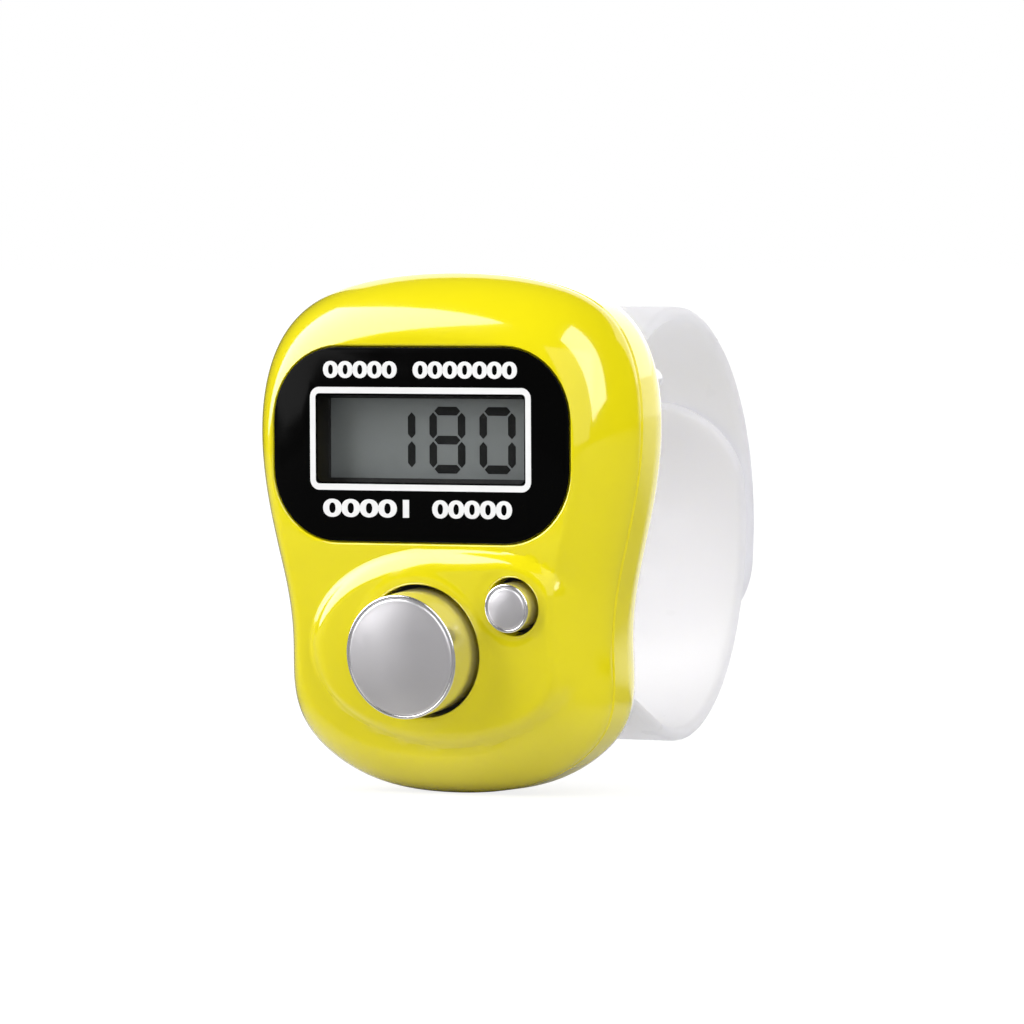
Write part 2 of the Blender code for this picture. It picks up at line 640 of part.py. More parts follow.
def make_display():
    """Holder, polarizer, two glasses, reflector and the rubber contact strip."""
    middle = GLASS_MIDDLE_HEIGHT
    holder = flat_piece("lcd_holder", [rounded_rectangle(HOLDER_WIDTH, HOLDER_HEIGHT, HOLDER_CORNER)],
                        HOLDER_DEPTH, BOARD_DEPTH - SEAT_GAP, middle, DARK)
    cut(holder, box("view_opening", VIEW_WIDTH, VIEW_HEIGHT, HOLDER_DEPTH - CUT_MARGIN,
                    BOARD_DEPTH, middle=WINDOW_MIDDLE_HEIGHT))
    cut(holder, box("glass_pocket", GLASS_WIDTH + 2 * FIT, GLASS_HEIGHT + 2 * FIT,
                    HOLDER_DEPTH + HOLDER_BEZEL, BOARD_DEPTH, middle=middle))
    box("lcd_front_polarizer", GLASS_WIDTH, GLASS_HEIGHT, POLARIZER_DEPTH,
        POLARIZER_DEPTH + POLARIZER_THICKNESS, middle=middle, material=GREY)
    box("lcd_front_glass", GLASS_WIDTH, GLASS_HEIGHT, FRONT_GLASS_DEPTH,
        FRONT_GLASS_DEPTH + GLASS_THICKNESS, middle=middle, material=GLASS)
    short_height = GLASS_HEIGHT - CONTACT_LEDGE
    short_middle = middle + CONTACT_LEDGE / 2
    box("lcd_rear_glass", GLASS_WIDTH, short_height, REAR_GLASS_DEPTH,
        REAR_GLASS_DEPTH + GLASS_THICKNESS, middle=short_middle, material=GLASS)
    box("lcd_reflector", GLASS_WIDTH, short_height, REFLECTOR_DEPTH,
        REFLECTOR_DEPTH + POLARIZER_THICKNESS, middle=short_middle, material=SILVER)
    strip_middle = GLASS_BOTTOM + CONTACT_LEDGE / 2
    box("zebra_connector", GLASS_WIDTH - 2 * SEAT_GAP, CONTACT_LEDGE - 2 * SEAT_GAP,
        FRONT_GLASS_DEPTH + GLASS_THICKNESS + LAYER_GAP, BOARD_DEPTH - LAYER_GAP,
        middle=strip_middle, material=CARBON)


# Board, cell and contacts

def make_board():
    """Circuit board with holes for the posts, and the parts soldered to its back."""
    edge = WALL + SEAT_GAP
    holes = [circle(POST_DIAMETER / 2 + POST_CLEARANCE, x, height) for x, height in SCREW_PLACES]
    flat_piece("circuit_board", [case_loop(edge, edge, edge)] + holes, BOARD_DEPTH, BOARD_BACK,
               material=GREEN)
    radius = CHIP_BLOB_DIAMETER / 2
    near = BOARD_BACK + LAYER_GAP
    blob = turned("chip_blob", (
        (0.0, near),
        (radius, near),
        (radius * 0.92, near + CHIP_BLOB_HEIGHT * 0.45),
        (radius * 0.62, near + CHIP_BLOB_HEIGHT * 0.85),
        (0.0, near + CHIP_BLOB_HEIGHT),
    ), middle=HALF_HEIGHT - CHIP_BLOB_END_MARGIN, material=DARK)
    smooth(blob)
    side = CELL_DIAMETER / 2 + SMALL_PART_LENGTH + SEAT_GAP
    for name, x, height, material in (
        ("timing_capacitor", side, SMALL_PART_LENGTH, CERAMIC),
        ("supply_capacitor", side, -SMALL_PART_LENGTH, CERAMIC),
        ("pull_resistor", side, 0.0, DARK),
    ):
        box(name, SMALL_PART_LENGTH, SMALL_PART_WIDTH, near, near + SMALL_PART_HEIGHT, x, height,
            material)


def make_cell():
    """Button cell, the plate under it and the clip over its rim."""
    radius = CELL_DIAMETER / 2
    step = CELL_STEP_DIAMETER / 2
    turned("button_cell", (
        (0.0, CELL_DEPTH),
        (step, CELL_DEPTH),
        (step, CELL_DEPTH + CELL_THICKNESS * 0.15),
        (radius, CELL_DEPTH + CELL_THICKNESS * 0.2),
        (radius, CELL_BACK),
        (0.0, CELL_BACK),
    ), sides=ROUND_SIDES, material=STEEL)
    cylinder("battery_negative_plate", NEGATIVE_PLATE_DIAMETER / 2, NEGATIVE_PLATE_DEPTH,
             NEGATIVE_PLATE_DEPTH + CONTACT_THICKNESS, sides=ROUND_SIDES, material=STEEL)
    clip_x = -radius - SEAT_GAP - CONTACT_THICKNESS / 2
    clip_back = CELL_BACK + LAYER_GAP + CONTACT_THICKNESS
    clip = box("battery_positive_clip", CONTACT_THICKNESS, CONTACT_WIDTH, BOARD_BACK + LAYER_GAP,
               clip_back, clip_x, material=STEEL)
    arm_length = radius
    join(clip, box("clip_arm", arm_length, CONTACT_WIDTH, CELL_BACK + LAYER_GAP, clip_back,
                   clip_x - CONTACT_THICKNESS / 2 + arm_length / 2))
    foot_length = CONTACT_WIDTH / 2
    join(clip, box("clip_foot", foot_length, CONTACT_WIDTH, BOARD_BACK + LAYER_GAP,
                   BOARD_BACK + LAYER_GAP + CONTACT_THICKNESS,
                   clip_x + CONTACT_THICKNESS / 2 - foot_length / 2))


# Buttons

def make_button(name, diameter, x, distance, rim_rise, protrusion, stem_diameter, travel):
    """Hollow cap with a flange under the casing and a stem on the dome."""
    radius = diameter / 2
    front = -rim_rise - protrusion
    flange_radius = radius + BUTTON_CLEARANCE + FLANGE_OVERLAP
    flange_front = FLANGE_SEAT_DEPTH + FIT
    flange_back = flange_front + FLANGE_THICKNESS
    stem_radius = stem_diameter / 2
    bore = radius - CAP_WALL
    profile = [
        (0.0, front),
        ((radius - CAP_ROUNDING) / 2, front + CAP_DOME / 4),
        (radius - CAP_ROUNDING, front + CAP_DOME),
        (radius - CAP_ROUNDING * 0.3, front + CAP_DOME + CAP_ROUNDING * 0.3),
        (radius, front + CAP_DOME + CAP_ROUNDING),
        (radius, flange_front),
        (flange_radius, flange_front),
        (flange_radius, flange_back),
    ]
    if bore - stem_radius > SEAT_GAP:
        profile += [(bore, flange_back), (bore, front + CAP_WALL), (stem_radius, front + CAP_WALL)]
    else:
        profile += [(stem_radius, flange_back)]
    stem_back = stem_end(distance, stem_diameter, travel)
    profile += [(stem_radius, stem_back), (0.0, stem_back)]
    return smooth(turned(name, profile, x, -distance, ROUND_SIDES, CHROME, LOWER_FACE))


def make_dome(name, pill_name, diameter, x, distance, stem_diameter, travel, pill_diameter):
    """Silicone return dome on the board, with a carbon pill under its top."""
    radius = diameter / 2
    height = lower_face_height(distance, stem_end(distance, stem_diameter, travel))
    top = dome_top(travel)
    foot = BOARD_DEPTH - LAYER_GAP
    brim_front = foot - DOME_SKIN
    top_radius = stem_diameter / 2 + DOME_SKIN / 2
    brim = radius - DOME_SKIN
    smooth(turned(name, (
        (0.0, top),
        (top_radius, top),
        (brim, brim_front),
        (radius, brim_front),
        (radius, foot),
        (brim - DOME_SKIN / 2, foot),
        (top_radius - DOME_SKIN / 2, top + DOME_TOP_THICKNESS),
        (0.0, top + DOME_TOP_THICKNESS),
    ), x, height, material=SILICONE))
    pill_front = top + DOME_TOP_THICKNESS + LAYER_GAP
    cylinder(pill_name, pill_diameter / 2, pill_front, pill_front + PILL_THICKNESS, x, height,
             material=CARBON)


def make_buttons():
    """Both buttons, each with its dome and pill."""
    make_button("count_button", COUNT_DIAMETER, 0.0, COUNT_DISTANCE, COLLAR_RISE,
                COUNT_PROTRUSION, COUNT_STEM_DIAMETER, COUNT_TRAVEL)
    make_button("reset_button", RESET_DIAMETER, RESET_X, RESET_DISTANCE, RESET_RISE,
                RESET_PROTRUSION, RESET_STEM_DIAMETER, RESET_TRAVEL)
    make_dome("count_dome", "count_pill", COUNT_DOME_DIAMETER, 0.0, COUNT_DISTANCE,
              COUNT_STEM_DIAMETER, COUNT_TRAVEL, COUNT_PILL_DIAMETER)
    make_dome("reset_dome", "reset_pill", RESET_DOME_DIAMETER, RESET_X, RESET_DISTANCE,
              RESET_STEM_DIAMETER, RESET_TRAVEL, RESET_PILL_DIAMETER)


def make_screws():
    """Four case screws, driven from the back."""
    for index, (x, height) in enumerate(SCREW_PLACES):
        head = SCREW_SEAT_DEPTH + LAYER_GAP
        radius = SCREW_DIAMETER / 2
        tip = head - SCREW_LENGTH
        screw = turned(f"case_screw_{index + 1}", (
            (0.0, tip),
            (radius * 0.5, tip),
            (radius, tip + radius),
            (radius, head),
            (SCREW_HEAD_DIAMETER / 2, head),
            (SCREW_HEAD_DIAMETER / 2, head + SCREW_HEAD_HEIGHT * 0.6),
            (SCREW_HEAD_DIAMETER / 2 * 0.7, head + SCREW_HEAD_HEIGHT),
            (0.0, head + SCREW_HEAD_HEIGHT),
        ), x, height, material=STEEL)
        for turn in (0.0, math.pi / 2):
            slot = box(f"driver_slot_{index}_{round(turn)}", SCREW_DIAMETER, DRIVER_SLOT_WIDTH,
                       head + SCREW_HEAD_HEIGHT - DRIVER_SLOT_DEPTH,
                       head + SCREW_HEAD_HEIGHT + CUT_MARGIN, x, height)
            slot.rotation_euler = (0.0, 0.0, turn)
            cut(screw, slot)


# Straps

def ring_arc(reach, first_half_height, second_half_height, side):
    """Rear of the ring from one strap's crown, over the rearmost point, as (depth, height)."""
    points = []
    for index in range(RING_STEPS + 1):
        turn = math.pi / 2 - math.pi * index / RING_STEPS
        half_height = first_half_height if turn >= 0 else second_half_height
        points.append(Vector((RING_CROWN_DEPTH + reach * math.cos(turn),
                              side * half_height * math.sin(turn))))
    return points


def arm_path(side):
    """A strap's arm from its slot to the ring's crown: straight, bend, straight, bend."""
    start = Vector((INNER_BACK, side * STRAP_EXIT_HEIGHT))
    bend = Vector((CASE_DEPTH + SEAT_GAP, side * STRAP_EXIT_HEIGHT))
    crown = Vector((RING_CROWN_DEPTH, side * RING_HALF_HEIGHT))
    across = crown.x - bend.x
    rise = side * (crown.y - bend.y)
    radii = EXIT_BEND_RADIUS + CROWN_BEND_RADIUS
    straight = math.sqrt(across ** 2 + (rise - radii) ** 2 - radii ** 2)
    slope = math.atan2(rise - radii, across) + math.atan2(radii, straight)
    points = [start]
    for index in range(BEND_STEPS + 1):
        turn = slope * index / BEND_STEPS
        points.append(bend + Vector((EXIT_BEND_RADIUS * math.sin(turn),
                                     side * EXIT_BEND_RADIUS * (1 - math.cos(turn)))))
    for index in range(BEND_STEPS + 1):
        turn = slope * (1 - index / BEND_STEPS)
        points.append(crown - Vector((CROWN_BEND_RADIUS * math.sin(turn),
                                      side * CROWN_BEND_RADIUS * (1 - math.cos(turn)))))
    return points


def lengths_along(path):
    """Distance from the start to each point of a path."""
    lengths = [0.0]
    for first, second in zip(path, path[1:]):
        lengths.append(lengths[-1] + (second - first).length)
    return lengths


def walk(path, lengths, distance):
    """Point and direction at a distance along a path."""
    distance = min(max(distance, 0.0), lengths[-1])
    index = next(i for i in range(1, len(lengths)) if lengths[i] >= distance - 1e-12)
    first = path[index - 1]
    step = path[index] - first
    return first + step * ((distance - lengths[index - 1]) / step.length), step.normalized()


def band(name, stations, pivot, material):
    """A strap through stations of (point, direction, half width, half thickness)."""
    builder = bmesh.new()
    rings = []
    for point, direction, half_width, half_thickness in stations:
        away = Vector((-direction.y, direction.x)) * half_thickness
        ring = []
        for side, out in ((-1, -1), (1, -1), (1, 1), (-1, 1)):
            corner = point - pivot + away * out
            ring.append(builder.verts.new((side * half_width, corner.y, -corner.x)))
        rings.append(ring)
    for first, second in zip(rings, rings[1:]):
        for index in range(4):
            after = (index + 1) % 4
            builder.faces.new((first[index], first[after], second[after], second[index]))
    builder.faces.new(rings[0])
    builder.faces.new(rings[-1])
    return place(name, mesh_from(builder, name), 0.0, pivot.y, pivot.x, material)


def make_strap_root(name, side):
    """Strap from the anchor block inside the case to just short of the ring's crown."""
    path = arm_path(side)
    half_width = STRAP_WIDTH / 2
    lengths = lengths_along(path)
    end = lengths[-1] - HALF_STRAP - HINGE_GAP
    stations = []
    for point, length in zip(path, lengths):
        if length < end:
            stations.append((point, walk(path, lengths, length + 1e-6)[1], half_width, HALF_STRAP))
    stations.append((*walk(path, lengths, end), half_width, HALF_STRAP))
    root = band(name, stations, path[0], STRAP)
    join(root, box(name + "_anchor", ANCHOR_WIDTH, ANCHOR_HEIGHT, BOARD_BACK + SEAT_GAP,
                   INNER_BACK - FIT, middle=side * STRAP_EXIT_HEIGHT))
    join(root, box(name + "_neck", STRAP_WIDTH, STRAP_THICKNESS, INNER_BACK - FIT * 2,
                   INNER_BACK + FIT, middle=side * STRAP_EXIT_HEIGHT))
    return root


def tail_stations(path, length):
    """Stations of a strap's tail: round nose at the bend line, full width, round tip."""
    lengths = lengths_along(path)
    half_width = STRAP_WIDTH / 2
    start, forward = walk(path, lengths, 0.0)
    stations = []
    for degrees in NOSE_DEGREES:
        turn = math.radians(degrees)
        stations.append((start - forward * HALF_STRAP * math.cos(turn), forward, half_width,
                         HALF_STRAP * math.sin(turn)))
    tip_start = length - half_width
    count = round(tip_start / STRAP_STEP)
    for index in range(count + 1):
        stations.append((*walk(path, lengths, tip_start * index / count), half_width, HALF_STRAP))
    for index in range(1, TIP_STEPS + 1):
        turn = math.radians(TIP_END_DEGREES) * index / TIP_STEPS
        distance = tip_start + half_width * math.sin(turn)
        stations.append((*walk(path, lengths, distance), half_width * math.cos(turn), HALF_STRAP))
    return stations


def along_normal(item, direction):
    """Turn a piece whose axis is the case's depth to lie across a strap."""
    item.rotation_euler = (math.atan2(direction.y, direction.x) - math.pi / 2, 0.0, 0.0)


def make_straps():
    """Upper strap with its row of holes outside, lower strap with its studs inside."""
    make_strap_root("upper_strap_root", 1)
    make_strap_root("lower_strap_root", -1)
    upper_path = ring_arc(UPPER_REACH, RING_HALF_HEIGHT, RING_HALF_HEIGHT + RING_OFFSET, 1)
    lower_path = ring_arc(LOWER_REACH, RING_HALF_HEIGHT, RING_HALF_HEIGHT - RING_OFFSET, -1)
    upper = band("upper_strap_tail", tail_stations(upper_path, UPPER_TAIL_LENGTH), upper_path[0], STRAP)
    lower = band("lower_strap_tail", tail_stations(lower_path, LOWER_TAIL_LENGTH), lower_path[0], STRAP)
    lengths = lengths_along(upper_path)
    for index in range(HOLE_COUNT):
        point, direction = walk(upper_path, lengths, FIRST_HOLE_DISTANCE + index * HOLE_PITCH)
        hole = cylinder(f"strap_hole_{index}", HOLE_DIAMETER / 2, -STRAP_THICKNESS, STRAP_THICKNESS)
        hole.location = (0.0, point.y, -point.x)
        along_normal(hole, direction)
        cut(upper, hole)
        if index in STUDDED_HOLES:
            crown = HALF_STRAP - STUD_RISE
            stud = turned(f"stud_{index}", (
                (0.0, crown),
                (STUD_DIAMETER * 0.3, crown + STUD_RISE * 0.06),
                (STUD_DIAMETER * 0.45, crown + STUD_RISE * 0.4),
                (STUD_DIAMETER / 2, HALF_STRAP),
                (STUD_DIAMETER / 2, RING_OFFSET),
                (0.0, RING_OFFSET),
            ))
            stud.location = (0.0, point.y, -point.x)
            along_normal(stud, direction)
            join(lower, stud)


make_front_shell()
make_rear_shell()
make_window()
make_display()
make_board()
make_cell()
make_buttons()
make_screws()
make_straps()
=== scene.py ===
"""Looks of the digital finger counter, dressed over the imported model.

Sizes are in millimetres. Places are given on the case: x to the right, height above the case's
middle and depth behind the face plane, or on the lower face, which leans back from its fold.
"""

import math

import bmesh
import bpy
from mathutils import Matrix, Vector


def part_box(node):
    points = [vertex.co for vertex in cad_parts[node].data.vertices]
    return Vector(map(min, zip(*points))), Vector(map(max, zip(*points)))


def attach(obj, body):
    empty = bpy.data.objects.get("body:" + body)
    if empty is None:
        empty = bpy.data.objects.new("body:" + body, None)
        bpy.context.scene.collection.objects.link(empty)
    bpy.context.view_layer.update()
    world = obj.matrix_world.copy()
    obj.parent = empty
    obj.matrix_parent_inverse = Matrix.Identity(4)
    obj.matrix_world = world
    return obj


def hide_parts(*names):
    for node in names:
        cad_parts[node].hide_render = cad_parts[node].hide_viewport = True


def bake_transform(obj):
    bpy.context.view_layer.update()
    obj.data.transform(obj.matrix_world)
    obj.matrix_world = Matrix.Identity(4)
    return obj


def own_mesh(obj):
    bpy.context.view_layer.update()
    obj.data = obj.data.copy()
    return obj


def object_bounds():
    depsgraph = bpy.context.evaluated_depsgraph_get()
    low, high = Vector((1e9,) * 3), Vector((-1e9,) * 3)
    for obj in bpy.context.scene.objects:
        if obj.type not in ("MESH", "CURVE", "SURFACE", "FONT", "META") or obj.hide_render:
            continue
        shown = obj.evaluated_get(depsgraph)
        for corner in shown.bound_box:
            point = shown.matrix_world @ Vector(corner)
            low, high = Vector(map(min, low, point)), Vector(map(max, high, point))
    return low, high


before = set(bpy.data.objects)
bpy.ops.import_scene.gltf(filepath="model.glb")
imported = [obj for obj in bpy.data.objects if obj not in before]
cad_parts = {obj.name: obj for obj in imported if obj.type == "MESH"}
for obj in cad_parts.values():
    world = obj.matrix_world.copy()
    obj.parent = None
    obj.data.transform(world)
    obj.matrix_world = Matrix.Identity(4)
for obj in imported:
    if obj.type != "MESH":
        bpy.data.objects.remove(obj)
CAD_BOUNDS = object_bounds()

MM = 0.001
CORNERS = ((1, 1), (-1, 1), (-1, -1), (1, -1))
WHITE = (1.0, 1.0, 1.0, 1.0)
FACE_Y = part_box("display_mask")[0][1]

# Case
HALF_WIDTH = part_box("front_shell")[1][0] / MM
HALF_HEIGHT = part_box("front_shell")[1][2] / MM
PARTING_DEPTH = 5.2
SEAM_GAP = 0.1
SEAM_BEVEL = 0.12
CASE_DEPTH = 11.2
BEHIND_CASE = 13.0
WALL = 1.5
BACK_WALL = 1.2
BACK_ROUNDING = 4.0
FRONT_INSETS = (2.8, 4.6, 2.8)
FRONT_EXPONENT = 1.6
BACK_EXPONENT = 2.0
FOLD_HEIGHT = -1.0
FOLD_SOFTNESS = 0.45
FACE_TILT = math.radians(6.0)
OUTLINE_STATIONS = (
    (0.000, 1.014),
    (0.525, 0.977),
    (0.849, 0.867),
    (0.989, 0.657),
    (1.014, 0.379),
    (0.958, 0.087),
    (0.866, -0.181),
    (0.832, -0.411),
    (0.856, -0.599),
    (0.821, -0.750),
    (0.661, -0.880),
    (0.386, -0.984),
    (0.000, -1.009),
)

# Window, print and display
FILM_WIDTH = 24.1
FILM_HEIGHT = 13.8
FILM_CORNER = 5.2
FILM_MIDDLE = 6.4
FILM_THICKNESS = 0.1
RECESS_DEPTH = 0.8
RECESS_LIP = 0.22
RECESS_FIT = 0.1
OPENING_WIDTH = 17.0
OPENING_HEIGHT = 6.2
OPENING_MIDDLE = 6.8
OPENING_CORNER = 0.4
SURROUND = 1.3
WINDOW_CUT = (0.5, 2.5)
PRINT_THICKNESS = 0.02
FRAME_WIDTH = 18.1
FRAME_HEIGHT = 7.35
FRAME_CORNER = 0.75
FRAME_LINE = 0.45

# Rows of numbers: text, place across, height, width and height of the figures
UPPER_NUMBERS = ("00000  0000000", 0.0, 11.72, 15.9, 1.22)
COUNT_NUMBERS = ("00001", -4.45, 1.85, 7.1, 1.3)
RESET_NUMBERS = ("00000", 4.25, 1.85, 6.5, 1.3)
NUMBER_BOLDNESS = 0.045

# Edge of the film: depth and how far it stands beyond the film's size
FILM_EDGE = ((0.0, -0.08), (0.02, -0.03), (0.05, 0.0))

# Digits on the display
DIGIT_WIDTH = 2.95
DIGIT_HEIGHT = 4.75
DIGIT_PITCH = 4.1
SEGMENT = 0.62
SEGMENT_GAP = 0.1
SEGMENT_FRONT = 0.01
SEGMENT_BACK = 0.002
DIGITS_RIGHT = 6.72
DIGITS_MIDDLE = 6.7

# Buttons: distances run down the lower face from its fold, tops and rises stand forward of it
COUNT_DISTANCE = 7.2
COUNT_RADIUS = 4.45
COUNT_HOLE = 4.78
COUNT_TOP = 4.1
COUNT_STEM = 2.0
COLLAR_RISE = 0.93
COLLAR_CREST = 5.1
COLLAR_FOOT = 5.8
MOUND_RISE = 0.85
MOUND_SHOULDER = 1.9
MOUND_LOWER_SHOULDER = 1.2
MOUND_NARROWING = 1.5
MOUND_FOOT = 0.2
MOUND_SHIFT = 1.4
MOUND_HALF_WIDTH = 11.1
MOUND_ABOVE = 7.35
MOUND_BELOW = 7.1
MOUND_CORNER = 3.4
RESET_X = 7.6
RESET_DISTANCE = 3.9
RESET_RADIUS = 1.75
RESET_HOLE = 2.08
RESET_TOP = 1.77
RESET_RISE = 0.75
RESET_SEAT = 2.3
RESET_SEAT_FALL = 0.8
RESET_STEM = 0.9
HOLE_LIP = 0.2
LIP_CLEARANCE = 0.02
BORE_SEAT_MARGIN = 0.47
BORE_SEAT_DEPTH = 0.9
BORE_END = 4.5
CAP_DOME = 0.38
CAP_EDGE = 0.2
CAP_BEAD = 0.26
FLANGE_FRONT = 1.0
FLANGE_BACK = 1.7
FLANGE_OVERLAP = 0.7
CAP_WALL = 0.8
CAP_HOLLOW = 0.3
DOME_SKIN = 0.5

# Back
PAD_WIDTH = 15.0
PAD_HEIGHT = 13.0
PAD_CORNER = 2.5
PAD_RISE = 0.5
PAD_BEVEL = 0.25
PAD_ROOT = 0.6
BOSS_START = 8.2
BOSS_WALL = 0.6
SCREW_PLACES = ((-6.0, 14.0), (6.0, 14.0), (-7.3, -12.6), (7.3, -12.6))
SCREW_SEAT = 9.4
SCREW_SEAT_GAP = 0.05
SCREW_HEAD_RADIUS = 1.35
SCREW_RIM = 0.4
SCREW_CROWN = 0.5
SCREW_FLAT_SHARE = 0.55
SCREW_RADIUS = 0.8
SCREW_LENGTH = 5.0
SCREW_TIP_RADIUS = 0.4
SCREW_TIP_LENGTH = 0.8
CROSS_LENGTH = 1.7
CROSS_WIDTH = 0.36
CROSS_FLOOR = 0.45
COUNTERBORE_RADIUS = 1.55

# Straps
STRAP_WIDTH = 13.3
STRAP_THICKNESS = 1.0
STRAP_EDGE = 0.4
STRAP_OFFSET = 1.25
STRAP_EXIT_HEIGHT = 9.0
ANCHOR_DEPTH = 7.2
ANCHOR_WIDTH = 14.7
ANCHOR_THICKNESS = 1.9
ANCHOR_LENGTH = 2.2
ANCHOR_BEVEL = 0.15
ANCHOR_END_SHARE = 0.85
SLOT_MARGIN = 0.3
SLOT_START = 9.0
SLOT_BEVEL = 0.15
SLOT_CORNER = 0.5
RING_HALF_HEIGHT = 15.45
RING_CROWN_DEPTH = 26.5
UPPER_REACH = 11.5
EXIT_CLEARANCE = 0.3
EXIT_BEND = 2.0
CROWN_BEND = 7.5
UPPER_LENGTH = 31.2
LOWER_LENGTH = 29.4
HOLE_RADIUS = 0.95
HOLE_CHAMFER = 0.12
FIRST_HOLE = 9.6
HOLE_PITCH = 4.0
HOLE_COUNT = 5
STUDDED_HOLES = (1, 2)
STUD_RADIUS = 0.7
STUD_RISE = 1.0
STUD_ROUNDING = 0.45

# Facets
OUTLINE_STEPS = 12
CURVE_STEPS = 12
EDGE_STEPS = 16
FACE_RINGS = 60
RING_STEPS = 240
STRAP_STATION = 0.5
STRAP_COLUMNS = 12
ROUND_SIDES = 128
SMALL_SIDES = 64
BOSS_SIDES = 48
HOLE_SIDES = 40
SHARP_ANGLE = 28.0
STRAP_SHARP_ANGLE = 40.0
MERGE_DISTANCE = 0.0005
SPECK_LENGTH = 0.0001
OVERRUN = 1.0
SLIVER = 0.002

# Unevenness of the materials
TONE_SIZE = 9.0
SCUFF_SIZE = 2.5
NOISE_SPAN = (0.3, 0.7)
GRAIN_DEPTH = 0.02

# Camera, as fitted to the photograph, with its angles in degrees
CAMERA_DISTANCE = 600.0
CAMERA_AZIMUTH = 29.5
CAMERA_ELEVATION = 2.0
CAMERA_ROLL = 0.26
PIXELS_PER_MM = 13.6055
ORIGIN_PIXEL = (584.0, 523.66)
PICTURE_SIZE = 1024

# Light: each lamp's lower and upper direction as azimuth and elevation, breadth and brightness
LEFT_BOX = ((-58.0, 3.0), (-68.0, 55.0), 48.0, 4.7)
RIGHT_BOX = ((78.0, 9.0), (30.0, 66.0), 25.0, 4.2)
FILL_BOX = ((35.0, 0.0), (35.0, 50.0), 60.0, 0.75)
BACK_BOX = ((180.0, 12.0), (180.0, 52.0), 80.0, 1.1)
LAMP_DISTANCE = 450.0

# Surroundings, brightest straight behind, where a direction's Y lies past the start and the end
BACK_START = 0.76
BACK_END = 0.92
WORLD_FRONT = 0.05
WORLD_BACK = 1.6

# Floor: pale to the camera. To mirrored rays it shows painted reflections: a pale pool near the object,
# darker further out, and a white glow straight behind
FLOOR_SIZE = 6000.0
FLOOR_GAP = 0.02
FLOOR_COLOUR = 0.6
FLOOR_GLOSS_COLOUR = 0.2
REFLECTED_POOL_RADIUS = 36.0
REFLECTED_POOL_SOFTNESS = 10.0
FLOOR_SEEN_COLOUR = 0.8
FLOOR_GLOW = 1.12
FLOOR_SHADOW = 0.25
FLOOR_SHADOW_REACH = 90.0


def on_case(x, height, depth):
    """A place on the case, in the scene's own metres."""
    return Vector((x * MM, FACE_Y + depth * MM, height * MM))


def on_lower_face(x, distance, depth):
    """A place on the leaning lower face, by its distance down from the fold."""
    height = FOLD_HEIGHT - distance * math.cos(FACE_TILT) + depth * math.sin(FACE_TILT)
    return on_case(x, height, distance * math.sin(FACE_TILT) + depth * math.cos(FACE_TILT))


def round_case(x, height):
    """Maps (u, v, depth) of a turned piece to places round a point of the case."""
    return lambda u, v, depth: on_case(x + u, height + v, depth)


def round_lower_face(x, distance):
    """Maps (u, v, depth) of a turned piece to places round a point of the lower face."""
    return lambda u, v, depth: on_lower_face(x + u, distance - v, depth)


def towards(azimuth, elevation):
    """Unit direction from the object at a camera azimuth and elevation in degrees."""
    azimuth, elevation = math.radians(azimuth), math.radians(elevation)
    return Vector((math.sin(azimuth) * math.cos(elevation), -math.cos(azimuth) * math.cos(elevation),
                   math.sin(elevation)))


# Materials

def feed(tree, node, *values, **named):
    """Set a node's inputs, by order or by name, to values or to other nodes' outputs."""
    pairs = list(enumerate(values)) + [(name.replace("_", " "), value) for name, value in named.items()]
    for key, value in pairs:
        if isinstance(value, bpy.types.NodeSocket):
            tree.links.new(value, node.inputs[key])
        else:
            node.inputs[key].default_value = value
    return node


def add_node(tree, kind, *values, operation=None, **named):
    """A new shader node with its inputs set."""
    node = tree.nodes.new("ShaderNode" + kind)
    if operation is not None:
        node.operation = operation
    return feed(tree, node, *values, **named)


def finish(name, colour, roughness, metallic=0.0, grain=0.0, grain_size=0.3, mottle=0.03,
           scuff=0.05, **sockets):
    """A Principled material with uneven colour, uneven gloss and a fine surface grain."""
    material = bpy.data.materials.new(name)
    material.use_nodes = True
    tree = material.node_tree
    place = add_node(tree, "TexCoord").outputs["Object"]
    low, high = NOISE_SPAN

    broad = add_node(tree, "TexNoise", Vector=place, Scale=1 / (TONE_SIZE * MM), Detail=3.0)
    tones = add_node(tree, "ValToRGB", Fac=broad.outputs["Fac"])
    for element, position, change in zip(tones.color_ramp.elements, NOISE_SPAN, (1 - mottle, 1 + mottle)):
        element.position = position
        element.color = (*[min(1.0, channel * change) for channel in colour], 1.0)

    rubbed = add_node(tree, "TexNoise", Vector=place, Scale=1 / (SCUFF_SIZE * MM), Detail=5.0)
    gloss = add_node(tree, "MapRange", Value=rubbed.outputs["Fac"], From_Min=low, From_Max=high,
                     To_Min=max(0.0, roughness - scuff), To_Max=roughness + scuff)
    shader = feed(tree, tree.nodes["Principled BSDF"], Base_Color=tones.outputs["Color"],
                  Roughness=gloss.outputs["Result"], Metallic=metallic, **sockets)
    if grain > 0:
        fine = add_node(tree, "TexNoise", Vector=place, Scale=1 / (grain_size * MM), Detail=2.0)
        bump = add_node(tree, "Bump", Height=fine.outputs["Fac"], Strength=grain, Distance=GRAIN_DEPTH * MM)
        feed(tree, shader, Normal=bump.outputs["Normal"])
    return material


